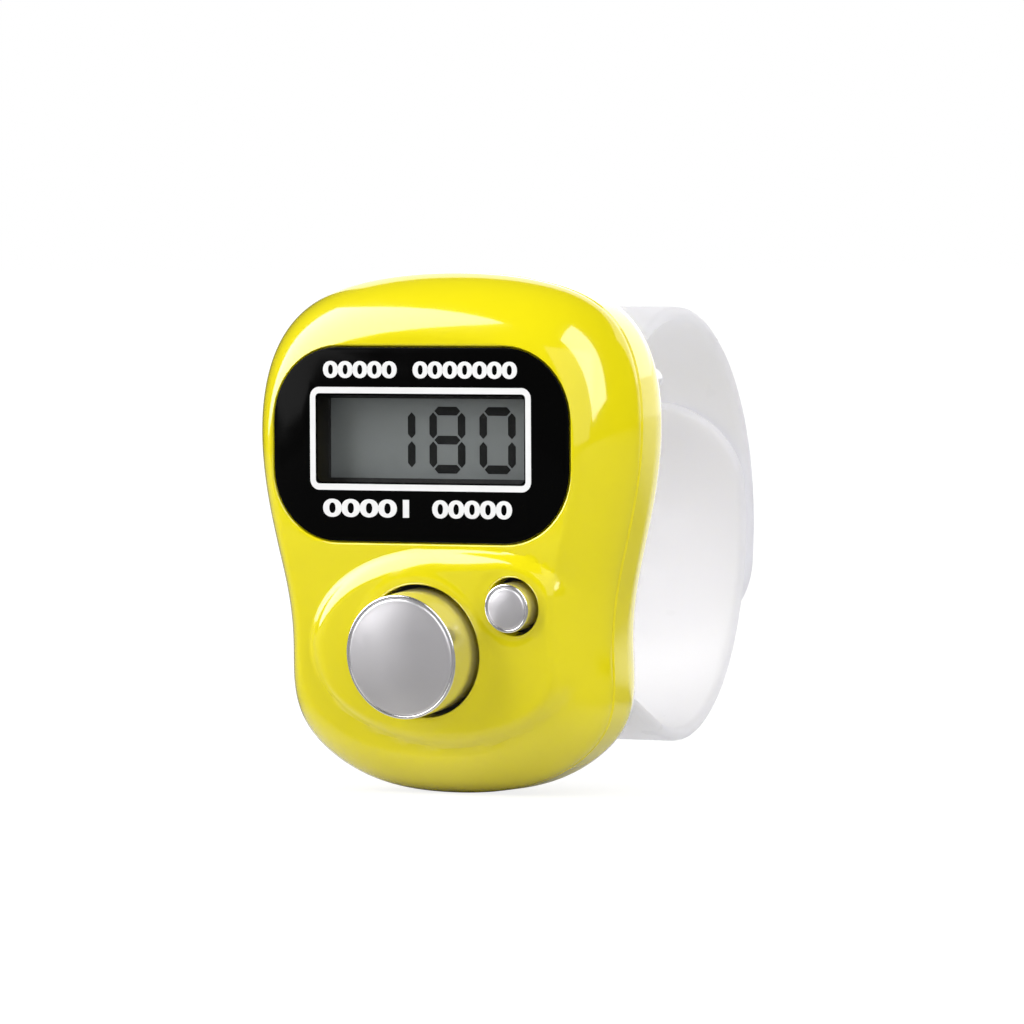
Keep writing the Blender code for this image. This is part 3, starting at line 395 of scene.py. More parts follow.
YELLOW = finish("yellow_plastic", (0.82, 0.71, 0.004), 0.14, grain=0.12, grain_size=0.8, mottle=0.015,
                scuff=0.03, Coat_Weight=1.0, Coat_Roughness=0.05, Coat_IOR=1.6, Specular_IOR_Level=0.35)
FILM = finish("black_film", (0.002, 0.002, 0.002), 0.12, grain=0.05, grain_size=0.15,
              Specular_IOR_Level=0.03)
PRINT = finish("white_print", (0.84, 0.84, 0.84), 0.45, grain=0.2, grain_size=0.1)
CHROME = finish("satin_chrome", (0.87, 0.85, 0.88), 0.38, metallic=0.86, grain=0.2, grain_size=0.05,
                scuff=0.04)
# Polished chrome for the caps' beads and side walls: smoother than the satin chrome, and its lighter base
# colour is a painted sheen
POLISH_AND_PAINTED_SHEEN = finish("polished_chrome_painted_sheen", (0.92, 0.91, 0.92), 0.18, metallic=0.92, scuff=0.02)
LIQUID = finish("display_grey", (0.22, 0.24, 0.24), 0.45, grain=0.1, grain_size=0.08, mottle=0.04)
SEGMENTS = finish("display_segments", (0.006, 0.007, 0.007), 0.5, Specular_IOR_Level=0.2)
CLEAR = finish("clear_window", (0.02, 0.02, 0.02), 0.05, scuff=0.02, Alpha=0.06)
GLASS = finish("display_glass", (0.92, 0.95, 0.94), 0.03, scuff=0.02, Transmission_Weight=1.0, IOR=1.52)
STRAP = finish("milky_strap", (0.92, 0.915, 0.945), 0.32, grain=0.2, grain_size=0.4, mottle=0.012,
               scuff=0.05)
DARK = finish("dark_plastic", (0.015, 0.015, 0.016), 0.5, grain=0.4, grain_size=0.2)
SILVER = finish("reflector_film", (0.62, 0.64, 0.62), 0.35, metallic=0.7, grain=0.2, grain_size=0.1)
STEEL = finish("plated_steel", (0.66, 0.65, 0.62), 0.28, metallic=1.0, grain=0.3, grain_size=0.12)
BOARD = finish("board_green", (0.015, 0.12, 0.05), 0.4, grain=0.3, grain_size=0.25, mottle=0.12)
CERAMIC = finish("ceramic", (0.36, 0.24, 0.15), 0.55, grain=0.3, grain_size=0.1, mottle=0.1)
SILICONE = finish("silicone", (0.62, 0.63, 0.64), 0.5, grain=0.3, grain_size=0.2,
                  Subsurface_Weight=0.2)
CARBON = finish("carbon", (0.02, 0.02, 0.02), 0.7, grain=0.5, grain_size=0.1)


def let_through(material, share, colour):
    """Let a share of the light behind a milky material shine through it."""
    tree = material.node_tree
    glow = add_node(tree, "BsdfTranslucent", Color=(*colour, 1.0))
    mix = add_node(tree, "MixShader", share, tree.nodes["Principled BSDF"].outputs["BSDF"],
                   glow.outputs["BSDF"])
    feed(tree, tree.nodes["Material Output"], Surface=mix.outputs["Shader"])


let_through(STRAP, 0.62, (0.94, 0.94, 0.965))

NODE_FINISHES = {
    DARK: ("lcd_holder", "chip_blob", "pull_resistor"),
    LIQUID: ("lcd_front_polarizer",),
    CLEAR: ("display_lens",),
    GLASS: ("lcd_front_glass", "lcd_rear_glass"),
    SILVER: ("lcd_reflector",),
    CARBON: ("zebra_connector", "count_pill", "reset_pill"),
    BOARD: ("circuit_board",),
    CERAMIC: ("timing_capacitor", "supply_capacitor"),
    STEEL: ("button_cell", "battery_negative_plate", "battery_positive_clip"),
}


def finish_nodes():
    """Give the CAD nodes that stay their materials."""
    for material, names in NODE_FINISHES.items():
        for name in names:
            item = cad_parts[name]
            item.data.materials.clear()
            item.data.materials.append(material)


# Building

def new_object(name, builder, material):
    """An object from a bmesh whose points are at their places in the scene."""
    bmesh.ops.remove_doubles(builder, verts=builder.verts, dist=MERGE_DISTANCE * MM)
    bmesh.ops.recalc_face_normals(builder, faces=builder.faces)
    mesh = bpy.data.meshes.new(name)
    builder.to_mesh(mesh)
    builder.free()
    item = bpy.data.objects.new(name, mesh)
    if material is not None:
        mesh.materials.append(material)
    bpy.context.scene.collection.objects.link(item)
    return item


def loft(name, rings, material=None, level_caps=False):
    """A closed form through rings of points, with its two ends capped."""
    builder = bmesh.new()
    rows = [[builder.verts.new(point) for point in ring] for ring in rings]
    count = len(rows[0])
    for first, second in zip(rows, rows[1:]):
        for index in range(count):
            after = (index + 1) % count
            builder.faces.new((first[index], first[after], second[after], second[index]))
    for row in (rows[0], rows[-1]):
        if level_caps:
            for index in range(count // 2):
                corners = (row[index], row[index + 1], row[-index - 1], row[-index % count])
                builder.faces.new(list(dict.fromkeys(corners)))
        else:
            builder.faces.new(row)
    return new_object(name, builder, material)


def turned(name, profile, centre, material=None, sides=ROUND_SIDES, finishes=()):
    """A turned piece from (radius, depth) points, which centre(x, y, depth) puts in their place.

    Each of the finishes is a profile point and the material that starts there.
    """
    builder = bmesh.new()
    rows = []
    for radius, depth in profile:
        if radius == 0:
            rows.append([builder.verts.new(centre(0.0, 0.0, depth))])
        else:
            turns = [2 * math.pi * index / sides for index in range(sides)]
            rows.append([builder.verts.new(centre(radius * math.cos(turn), radius * math.sin(turn), depth))
                         for turn in turns])
    for span, (row, other) in enumerate(zip(rows, rows[1:])):
        for index in range(sides):
            after = (index + 1) % sides
            corners = [row[index % len(row)], row[after % len(row)],
                       other[after % len(other)], other[index % len(other)]]
            unique = list(dict.fromkeys(corners))
            if len(unique) > 2:
                face = builder.faces.new(unique)
                face.material_index = sum(span >= start for start, change in finishes)
    item = new_object(name, builder, material)
    for start, change in finishes:
        item.data.materials.append(change)
    return item


def combine(item, tool, operation):
    """Apply one exact Boolean and drop the tool."""
    modifier = item.modifiers.new("boolean", "BOOLEAN")
    modifier.operation = operation
    modifier.solver = "EXACT"
    modifier.object = tool
    graph = bpy.context.evaluated_depsgraph_get()
    mesh = bpy.data.meshes.new_from_object(item.evaluated_get(graph))
    item.modifiers.clear()
    item.data = mesh
    bpy.data.objects.remove(tool, do_unlink=True)


def cut(item, tool):
    """Take a tool's shape away."""
    combine(item, tool, "DIFFERENCE")


def join(item, tool):
    """Add a tool's shape."""
    combine(item, tool, "UNION")


def shade(item, degrees=SHARP_ANGLE):
    """Shade smooth, with edges steeper than an angle kept sharp."""
    item.data.shade_smooth()
    item.data.set_sharp_from_angle(angle=math.radians(degrees))
    return item


def dress(item, body, slot, *nodes):
    """Put a finished piece on its body in place of CAD nodes."""
    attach(item, body)
    if nodes:
        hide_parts(*nodes)


def arc(first, last, steps):
    """Evenly spaced angles in radians between two in degrees."""
    return [math.radians(first + (last - first) * step / steps) for step in range(steps + 1)]


def rounded_rectangle(width, height, corner, middle):
    """Points around a rectangle with round corners, its middle at a height."""
    points = []
    for quarter, (side, end) in enumerate(CORNERS):
        for turn in arc(90 * quarter, 90 * (quarter + 1), CURVE_STEPS):
            points.append((side * (width / 2 - corner) + corner * math.cos(turn),
                           middle + end * (height / 2 - corner) + corner * math.sin(turn)))
    return points


def plate(name, width, height, corner, middle, levels, material=None):
    """A rounded plate through (depth, how much it grows) levels."""
    rings = []
    for depth, grow in levels:
        outline = rounded_rectangle(width + 2 * grow, height + 2 * grow, corner + grow, middle)
        rings.append([on_case(x, level, depth) for x, level in outline])
    return loft(name, rings, material)


def block(name, x, height, width, tall, near, far):
    """A plain block between two depths, for cutting."""
    rings = [[on_case(x + side * width / 2, height + end * tall / 2, depth) for side, end in CORNERS]
             for depth in (near, far)]
    return loft(name, rings)


# Case

def half_outline():
    """Right half of the case's outline, from crown to chin, as an even spline."""
    stations = [Vector(shares) for shares in OUTLINE_STATIONS]
    mirror = Vector((-1.0, 1.0))
    stations = [stations[1] * mirror] + stations + [stations[-2] * mirror]
    points = []
    for index in range(1, len(stations) - 2):
        before, start, end, after = stations[index - 1:index + 3]
        for step in range(OUTLINE_STEPS):
            share = step / OUTLINE_STEPS
            points.append((before * (1 - share) ** 3 + start * (3 * share ** 3 - 6 * share ** 2 + 4)
                           + end * (1 + 3 * share + 3 * share ** 2 - 3 * share ** 3)
                           + after * share ** 3) / 6)
    points.append((stations[-3] + 4 * stations[-2] + stations[-1]) / 6)
    widest = max(point.x for point in points)
    top, bottom = points[0].y, points[-1].y
    return [Vector((point.x / widest * HALF_WIDTH,
                    ((point.y - bottom) / (top - bottom) * 2 - 1) * HALF_HEIGHT)) for point in points]


def lean(height):
    """How far the lower face lies back at a height, with a soft fold."""
    run = FOLD_SOFTNESS * math.log(1 + math.exp((FOLD_HEIGHT - height) / FOLD_SOFTNESS))
    return run * math.tan(FACE_TILT)


def ease(value):
    """Smooth step from 0 to 1."""
    value = min(1.0, max(0.0, value))
    return value * value * (3 - 2 * value)


def shoulder(share):
    """Rise from 0 to 1 over a shoulder with a short hollow foot and a long round crown."""
    share = min(1.0, max(0.0, share))
    if share < MOUND_FOOT:
        return share ** 2 / MOUND_FOOT
    over = share - MOUND_FOOT
    return MOUND_FOOT + 2 * over - over ** 2 / (1 - MOUND_FOOT)


def swelling(x, height):
    """How far the lower face swells forward round the buttons: oval mound, collar and reset seat."""
    up = height - (FOLD_HEIGHT - COUNT_DISTANCE * math.cos(FACE_TILT))
    across = (x - MOUND_SHIFT) / MOUND_HALF_WIDTH
    along = up / (MOUND_ABOVE if up > 0 else MOUND_BELOW)
    power = MOUND_CORNER if across > 0 and along > 0 else 2.0
    share = max(0.001, (abs(across) ** power + abs(along) ** power) ** (1 / power))
    inside = math.hypot(x - MOUND_SHIFT, up) * (1 / share - 1)
    wide = MOUND_SHOULDER - (MOUND_SHOULDER - MOUND_LOWER_SHOULDER) * ease(-along * MOUND_NARROWING)
    mound = MOUND_RISE * shoulder(inside / wide)
    nearness = (COLLAR_FOOT - math.hypot(x, up)) / (COLLAR_FOOT - COLLAR_CREST)
    collar = (COLLAR_RISE - MOUND_RISE) * ease(nearness)
    beside = x - RESET_X
    above = height - FOLD_HEIGHT + RESET_DISTANCE * math.cos(FACE_TILT)
    level = ease((RESET_SEAT + RESET_SEAT_FALL - math.hypot(beside, above)) / RESET_SEAT_FALL)
    return level * RESET_RISE + (1 - level) * (mound + collar)


def case_outline(insets):
    """The case's outline drawn in at the sides, crown and chin, as (x, height)."""
    side, crown, chin = insets
    right = []
    for point in half_outline():
        end = crown if point.y > 0 else chin
        right.append((point.x * (1 - side / HALF_WIDTH), point.y * (1 - end / HALF_HEIGHT)))
    return right + [(-x, height) for x, height in reversed(right[1:-1])]


def case_ring(insets, depth, lean_share=0.0, swells=False):
    """The case's outline at a depth, with its share of the lower face's lean and swelling."""
    ring = []
    for x, height in case_outline(insets):
        forward = swelling(x, height) if swells else 0.0
        ring.append(on_case(x, height, depth + (lean(height) - forward) * lean_share))
    return ring


def rounding(insets, wall, start, end, exponent, leans, swells=False):
    """Rings of a case form that rounds over from its side to a flat end."""
    rings = []
    for turn in arc(0, 90, EDGE_STEPS):
        drawn = 1 - max(0.0, math.cos(turn)) ** (2 / exponent)
        reach = math.sin(turn) ** (2 / exponent)
        amounts = [wall + (inset - wall) * drawn for inset in insets]
        rings.append(case_ring(amounts, start + (end - start) * reach, reach if leans else 0.0, swells))
    return rings


def face_rings():
    """Rings across the front face, from its edge to its middle, shaped by the lean and the swelling."""
    rings = []
    for index in range(1, FACE_RINGS):
        share = 1 - index / FACE_RINGS
        ring = []
        for x, height in case_outline(FRONT_INSETS):
            x, height = x * share, height * share
            ring.append(on_case(x, height, lean(height) - swelling(x, height)))
        rings.append(ring)
    return rings


def even(inset):
    """The same inset all round."""
    return (inset, inset, inset)


def bore_tool(name, radius, top, x, distance):
    """A cutter for a button hole with a rounded lip and a wider seat behind."""
    mouth = radius + HOLE_LIP + LIP_CLEARANCE
    profile = [(0.0, -top - OVERRUN), (mouth, -top - OVERRUN)]
    for turn in arc(90, 0, 6):
        profile.append((radius + HOLE_LIP * (1 - math.cos(turn)), -top + HOLE_LIP * (1 - math.sin(turn))))
    seat = radius + BORE_SEAT_MARGIN
    profile += [(radius, BORE_SEAT_DEPTH), (seat, BORE_SEAT_DEPTH), (seat, BORE_END), (0.0, BORE_END)]
    return turned(name, profile, round_lower_face(x, distance))


def make_front():
    """Front casing: domed edges, window recess, the mound round the buttons, two bores."""
    rings = [case_ring(even(SEAM_BEVEL), PARTING_DEPTH), case_ring(even(0.0), PARTING_DEPTH - SEAM_BEVEL)]
    rings += rounding(FRONT_INSETS, 0.0, PARTING_DEPTH - 2 * SEAM_BEVEL, 0.0, FRONT_EXPONENT, True, True)
    shell = loft("front_casing", rings + face_rings(), YELLOW, level_caps=True)

    cavity = [case_ring(even(WALL), PARTING_DEPTH + OVERRUN)]
    cavity += rounding(FRONT_INSETS, WALL, PARTING_DEPTH, WALL, FRONT_EXPONENT, True)
    cut(shell, loft("front_cavity", cavity, level_caps=True))

    lip = [(RECESS_LIP * (1 - math.sin(turn)), RECESS_LIP * (1 - math.cos(turn))) for turn in arc(85, 0, 6)]
    cut(shell, plate("recess", FILM_WIDTH + 2 * RECESS_FIT, FILM_HEIGHT + 2 * RECESS_FIT,
                     FILM_CORNER + RECESS_FIT, FILM_MIDDLE,
                     [(-OVERRUN, RECESS_LIP)] + lip + [(RECESS_DEPTH, 0.0)]))
    cut(shell, block("window", 0.0, OPENING_MIDDLE, OPENING_WIDTH + 2 * SURROUND,
                     OPENING_HEIGHT + 2 * SURROUND, *WINDOW_CUT))
    cut(shell, bore_tool("count_bore", COUNT_HOLE, COLLAR_RISE, 0.0, COUNT_DISTANCE))
    cut(shell, bore_tool("reset_bore", RESET_HOLE, RESET_RISE, RESET_X, RESET_DISTANCE))
    dress(shade(shell), "case", "yellow_plastic", "front_shell")


def make_back():
    """Rear casing with finger pad, strap slots and counterbored screw holes."""
    start = PARTING_DEPTH + SEAM_GAP
    rings = [case_ring(even(SEAM_BEVEL), start), case_ring(even(0.0), start + SEAM_BEVEL)]
    rounding_start = CASE_DEPTH - BACK_ROUNDING
    rings += rounding(even(BACK_ROUNDING), 0.0, rounding_start, CASE_DEPTH, BACK_EXPONENT, False)
    shell = loft("rear_casing", rings, YELLOW, level_caps=True)

    pad_end = CASE_DEPTH + PAD_RISE
    levels = [(CASE_DEPTH - PAD_ROOT, 0.0)]
    for turn in arc(0, 90, 6):
        levels.append((pad_end - PAD_BEVEL * (1 - math.sin(turn)), -PAD_BEVEL * (1 - math.cos(turn))))
    join(shell, plate("pad", PAD_WIDTH, PAD_HEIGHT, PAD_CORNER, 0.0, levels))

    cavity = [case_ring(even(WALL), start - OVERRUN)]
    cavity += rounding(even(BACK_ROUNDING), WALL, rounding_start, CASE_DEPTH - BACK_WALL, BACK_EXPONENT,
                       False)
    cavity_form = loft("rear_cavity", cavity, level_caps=True)
    boss_radius = COUNTERBORE_RADIUS + BOSS_WALL
    boss = ((0.0, BOSS_START), (boss_radius, BOSS_START), (boss_radius, BEHIND_CASE), (0.0, BEHIND_CASE))
    for x, height in SCREW_PLACES:
        cut(cavity_form, turned("boss", boss, round_case(x, height), sides=BOSS_SIDES))
    cut(shell, cavity_form)
    hole = ((0.0, SCREW_SEAT), (COUNTERBORE_RADIUS, SCREW_SEAT), (COUNTERBORE_RADIUS, BEHIND_CASE),
            (0.0, BEHIND_CASE))
    for x, height in SCREW_PLACES:
        cut(shell, turned("counterbore", hole, round_case(x, height), sides=SMALL_SIDES))
    levels = ((SLOT_START, 0.0), (CASE_DEPTH - SLOT_BEVEL, 0.0), (CASE_DEPTH + SLIVER, SLOT_BEVEL),
              (BEHIND_CASE, SLOT_BEVEL))
    for side in (1, -1):
        cut(shell, plate("slot", STRAP_WIDTH + 2 * SLOT_MARGIN, STRAP_THICKNESS + 2 * SLOT_MARGIN,
                         SLOT_CORNER, side * STRAP_EXIT_HEIGHT, levels))
    dress(shade(shell), "case", "yellow_plastic", "rear_shell")


# Print and display

def make_film():
    """Black printed film with its window, and the white print on it."""
    through = ((-OVERRUN, 0.0), (OVERRUN, 0.0))
    film = plate("printed_film", FILM_WIDTH, FILM_HEIGHT, FILM_CORNER, FILM_MIDDLE,
                 FILM_EDGE + ((FILM_THICKNESS, 0.0),), FILM)
    cut(film, plate("opening", OPENING_WIDTH, OPENING_HEIGHT, OPENING_CORNER, OPENING_MIDDLE, through))
    dress(shade(film), "case", "black_print", "display_mask")

    depths = ((-PRINT_THICKNESS, 0.0), (0.0, 0.0))
    line = plate("white_frame", FRAME_WIDTH, FRAME_HEIGHT, FRAME_CORNER, OPENING_MIDDLE, depths, PRINT)
    cut(line, plate("frame_inside", FRAME_WIDTH - 2 * FRAME_LINE, FRAME_HEIGHT - 2 * FRAME_LINE,
                    FRAME_CORNER - FRAME_LINE, OPENING_MIDDLE, through))
    dress(line, "case", "black_print")

    for name, row in (("upper_numbers", UPPER_NUMBERS), ("count_numbers", COUNT_NUMBERS),
                      ("reset_numbers", RESET_NUMBERS)):
        dress(make_numbers(name, *row), "case", "black_print")


def make_numbers(name, text, x, height, width, tall):
    """A row of plain numbers, stretched to a width and a height."""
    curve = bpy.data.curves.new(name, "FONT")
    curve.body = text
    curve.size = tall * MM
    curve.extrude = PRINT_THICKNESS / 2 * MM
    curve.offset = NUMBER_BOLDNESS * MM
    guide = bpy.data.objects.new(name + "_guide", curve)
    bpy.context.scene.collection.objects.link(guide)
    graph = bpy.context.evaluated_depsgraph_get()
    mesh = bpy.data.meshes.new_from_object(guide.evaluated_get(graph))
    bpy.data.objects.remove(guide, do_unlink=True)
    lows = [min(vertex.co[axis] for vertex in mesh.vertices) for axis in (0, 1)]
    highs = [max(vertex.co[axis] for vertex in mesh.vertices) for axis in (0, 1)]
    middle = on_case(x, height, -PRINT_THICKNESS / 2)
    for vertex in mesh.vertices:
        across = (vertex.co.x - (lows[0] + highs[0]) / 2) * width * MM / (highs[0] - lows[0])
        up = (vertex.co.y - (lows[1] + highs[1]) / 2) * tall * MM / (highs[1] - lows[1])
        vertex.co = middle + Vector((across, -vertex.co.z, up))
    mesh.materials.clear()
    mesh.materials.append(PRINT)
    item = bpy.data.objects.new(name, mesh)
    bpy.context.scene.collection.objects.link(item)
    return item


def segment(centre, length, upright):
    """Corner points of one mitred bar of a digit."""
    half = length / 2 - SEGMENT_GAP
    wide = SEGMENT / 2
    points = [(-half, 0.0), (-half + wide, wide), (half - wide, wide), (half, 0.0), (half - wide, -wide),
              (-half + wide, -wide)]
    if upright:
        points = [(y, x) for x, y in points]
    return [(centre[0] + x, centre[1] + y) for x, y in points]


def make_digits():
    """The lit digits: thin bars on the front of the liquid crystal."""
    reach = DIGIT_WIDTH - SEGMENT
    rise = (DIGIT_HEIGHT - SEGMENT) / 2
    bars = {
        "top": ((0.0, rise), reach, False),
        "middle": ((0.0, 0.0), reach, False),
        "bottom": ((0.0, -rise), reach, False),
        "upper_left": ((-reach / 2, rise / 2), rise, True),
        "upper_right": ((reach / 2, rise / 2), rise, True),
        "lower_left": ((-reach / 2, -rise / 2), rise, True),
        "lower_right": ((reach / 2, -rise / 2), rise, True),
    }
    shown = (
        ("upper_right", "lower_right"),
        tuple(bars),
        tuple(name for name in bars if name != "middle"),
    )
    front = (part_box("lcd_front_polarizer")[0][1] - FACE_Y) / MM
    builder = bmesh.new()
    for place, names in enumerate(shown):
        middle = DIGITS_RIGHT - DIGIT_WIDTH / 2 - DIGIT_PITCH * (len(shown) - 1 - place)
        for name in names:
            centre, length, upright = bars[name]
            outline = segment((middle + centre[0], DIGITS_MIDDLE + centre[1]), length, upright)
            rows = [[builder.verts.new(on_case(x, height, depth)) for x, height in outline]
                    for depth in (front - SEGMENT_FRONT, front - SEGMENT_BACK)]
            builder.faces.new(rows[0])
            builder.faces.new(rows[1])
            for index in range(len(outline)):
                after = (index + 1) % len(outline)
                builder.faces.new((rows[0][index], rows[0][after], rows[1][after], rows[1][index]))
    digits = new_object("display_digits", builder, SEGMENTS)
    dress(digits, "case", "display_grey")


# Buttons

def make_button(name, radius, top, stem_radius, x, distance, body):
    """Chrome cap: satin domed face with a round edge, polished bead and side wall whose lighter chrome is a
    painted sheen, flange and stem.
    """
    dome = CAP_DOME * radius / COUNT_RADIUS
    bead = CAP_BEAD / 2
    flat = radius - 2 * bead - CAP_EDGE
    profile = [(flat * step / CURVE_STEPS, -top + dome * (step / CURVE_STEPS) ** 2)
               for step in range(CURVE_STEPS + 1)]
    for turn in arc(90, 0, 8)[1:]:
        profile.append((flat + CAP_EDGE * math.cos(turn), -top + dome + CAP_EDGE * (1 - math.sin(turn))))
    face_end = len(profile) - 1
    crest = -top + dome + CAP_EDGE / 4
    for turn in arc(170, 0, 14):
        profile.append((radius - bead + bead * math.cos(turn), crest + bead * (1 - math.sin(turn))))
    flange = radius + FLANGE_OVERLAP
    profile.append((radius, FLANGE_FRONT))
    wall_end = len(profile) - 1
    profile += [(flange, FLANGE_FRONT), (flange, FLANGE_BACK)]
    bore = radius - CAP_WALL
    if bore > stem_radius + CAP_HOLLOW:
        profile += [(bore, FLANGE_BACK), (bore, -top + CAP_WALL), (stem_radius, -top + CAP_WALL)]
    else:
        profile += [(stem_radius, FLANGE_BACK)]
    tip = (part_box(name)[1][1] - FACE_Y) / MM
    reach = (tip - (distance + stem_radius) * math.sin(FACE_TILT)) / math.cos(FACE_TILT)
    profile += [(stem_radius, reach), (0.0, reach)]
    item = turned(name.replace("button", "cap"), profile, round_lower_face(x, distance), CHROME,
                  finishes=((face_end, POLISH_AND_PAINTED_SHEEN), (wall_end, DARK)))
    dress(shade(item), body, "satin_chrome", name)


def make_membrane(button, stem_radius):
    """Silicone return dome with a round shoulder and a flat foot."""
    low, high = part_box(f"{button}_dome")
    x, height = (low[0] + high[0]) / 2 / MM, (low[2] + high[2]) / 2 / MM
    radius = (high[0] - low[0]) / 2 / MM
    top, foot = (low[1] - FACE_Y) / MM, (high[1] - FACE_Y) / MM
    crown = stem_radius + DOME_SKIN / 2
    brim = radius - DOME_SKIN
    outside, inside = [], []
    for step in range(CURVE_STEPS + 1):
        share = step / CURVE_STEPS
        spread = crown + (brim - crown) * share
        sink = top + (foot - DOME_SKIN - top) * ease(share)
        outside.append((spread, sink))
        inside.append((spread - DOME_SKIN / 2, sink + DOME_SKIN))
    profile = [(0.0, top)] + outside + [(radius, foot - DOME_SKIN), (radius, foot)] + inside[::-1]
    profile.append((0.0, top + DOME_SKIN))
    item = turned(f"{button}_membrane", profile, round_case(x, height), SILICONE, sides=SMALL_SIDES)
    dress(shade(item), "case", "silicone", f"{button}_dome")
    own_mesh(item)


def make_screw(index, x, height):
    """Screw head with a cross recess, seated in its counterbore."""
    head = SCREW_SEAT + SCREW_SEAT_GAP
    tip = head - SCREW_LENGTH
    crown = head + SCREW_RIM + SCREW_CROWN
    profile = [(0.0, tip), (SCREW_TIP_RADIUS, tip), (SCREW_RADIUS, tip + SCREW_TIP_LENGTH),
               (SCREW_RADIUS, head), (SCREW_HEAD_RADIUS, head)]
    for turn in arc(0, 90, 8):
        share = SCREW_FLAT_SHARE + (1 - SCREW_FLAT_SHARE) * math.cos(turn)
        profile.append((SCREW_HEAD_RADIUS * share, head + SCREW_RIM + SCREW_CROWN * math.sin(turn)))
    profile.append((0.0, crown))
    screw = turned(f"screw_{index}", profile, round_case(x, height), STEEL, sides=SMALL_SIDES)
    for width, tall in ((CROSS_LENGTH, CROSS_WIDTH), (CROSS_WIDTH, CROSS_LENGTH)):
        cut(screw, block("recess", x, height, width, tall, head + CROSS_FLOOR, crown + OVERRUN))
    dress(shade(screw), "case", "contact_steel", f"case_screw_{index}")


# Straps

def arm_path(side):
    """Middle line of a strap from its anchor to the ring's crown, as (depth, height)."""
    bend = Vector((CASE_DEPTH + EXIT_CLEARANCE, side * STRAP_EXIT_HEIGHT))
    crown = Vector((RING_CROWN_DEPTH, side * RING_HALF_HEIGHT))
    across = crown.x - bend.x
    rise = side * (crown.y - bend.y)
    radii = EXIT_BEND + CROWN_BEND
    straight = math.sqrt(across ** 2 + (rise - radii) ** 2 - radii ** 2)
    slope = math.atan2(rise - radii, across) + math.atan2(radii, straight)
    points = [Vector((ANCHOR_DEPTH, side * STRAP_EXIT_HEIGHT))]
    for step in range(CURVE_STEPS + 1):
        turn = slope * step / CURVE_STEPS
        points.append(bend + EXIT_BEND * Vector((math.sin(turn), side * (1 - math.cos(turn)))))
    for step in range(CURVE_STEPS + 1):
        turn = slope * (1 - step / CURVE_STEPS)
        points.append(crown - CROWN_BEND * Vector((math.sin(turn), side * (1 - math.cos(turn)))))
    return points


def ring_path(reach, far_half_height, side):
    """Middle line of a strap's tail, over the rear of the ring to its far side."""
    points = []
    for turn in arc(90, -90, RING_STEPS):
        half_height = RING_HALF_HEIGHT if turn >= 0 else far_half_height
        points.append(Vector((RING_CROWN_DEPTH + reach * math.cos(turn),
                              side * half_height * math.sin(turn))))
    return points


def lengths_along(path):
    """Distance from the start to each point of a path."""
    lengths = [0.0]
    for first, second in zip(path, path[1:]):
        lengths.append(lengths[-1] + (second - first).length)
    return lengths


def walk(path, lengths, distance):
    """Point and direction at a distance along a path."""
    distance = min(max(distance, 0.0), lengths[-1])
    index = next(i for i in range(1, len(lengths)) if lengths[i] >= distance - 1e-9)
    step = path[index] - path[index - 1]
    return path[index - 1] + step * ((distance - lengths[index - 1]) / step.length), step.normalized()


def make_strap(name, path, length):
    """A flat strap along a path: thick anchor, even band with round edges, round tip."""
    lengths = lengths_along(path)
    half_width = STRAP_WIDTH / 2
    tip_start = length - half_width
    first = ANCHOR_LENGTH + ANCHOR_BEVEL
    count = round((tip_start - first) / STRAP_STATION)
    distances = [0.0, ANCHOR_BEVEL, ANCHOR_LENGTH - ANCHOR_BEVEL, ANCHOR_LENGTH, first]
    distances += [first + (tip_start - first) * index / count for index in range(1, count)]
    distances += [tip_start + half_width * math.sin(turn) for turn in arc(0, 90, 20)]
    columns = [math.sin(turn) for turn in arc(-90, 90, 2 * STRAP_COLUMNS)]
    builder = bmesh.new()
    fronts, backs = [], []
    for distance in distances:
        point, direction = walk(path, lengths, distance)
        normal = Vector((-direction.y, direction.x))
        past = max(0.0, distance - tip_start)
        width = math.sqrt(max(0.0, half_width ** 2 - past ** 2))
        thickness = STRAP_THICKNESS / 2
        if distance <= ANCHOR_LENGTH:
            width = ANCHOR_WIDTH / 2
            thickness = ANCHOR_THICKNESS / 2
        front, back = [], []
        for column in columns:
            x = width * column
            edge = width - abs(x) if past == 0 else half_width - math.hypot(past, x)
            fullness = min(1.0, max(0.0, edge) / STRAP_EDGE)
            rise = thickness * math.sqrt(1 - (1 - fullness) ** 2)
            if distance == 0.0:
                rise *= ANCHOR_END_SHARE
            for lift, row in ((rise, front), (-rise, back)):
                height = point.y + normal.y * lift
                row.append(builder.verts.new(on_case(x, height, point.x + normal.x * lift)))
        fronts.append(front)
        backs.append(back)
    last = len(columns) - 1
    for rows in (fronts, backs):
        for one, two in zip(rows, rows[1:]):
            for index in range(last):
                builder.faces.new((one[index], one[index + 1], two[index + 1], two[index]))
    for index in range(last):
        builder.faces.new((fronts[0][index], fronts[0][index + 1], backs[0][index + 1], backs[0][index]))
    bmesh.ops.remove_doubles(builder, verts=builder.verts, dist=MERGE_DISTANCE * MM)
    bmesh.ops.dissolve_degenerate(builder, dist=SPECK_LENGTH * MM, edges=builder.edges)
    return new_object(name, builder, STRAP)


def across_strap(point, direction):
    """Maps (u, v, depth) of a turned piece to a place whose axis crosses a strap, outwards first."""
    normal = Vector((direction.y, -direction.x))

    def place(u, v, depth):
        spot = point + direction * v + normal * depth
        return on_case(u, spot.y, spot.x)

    return place


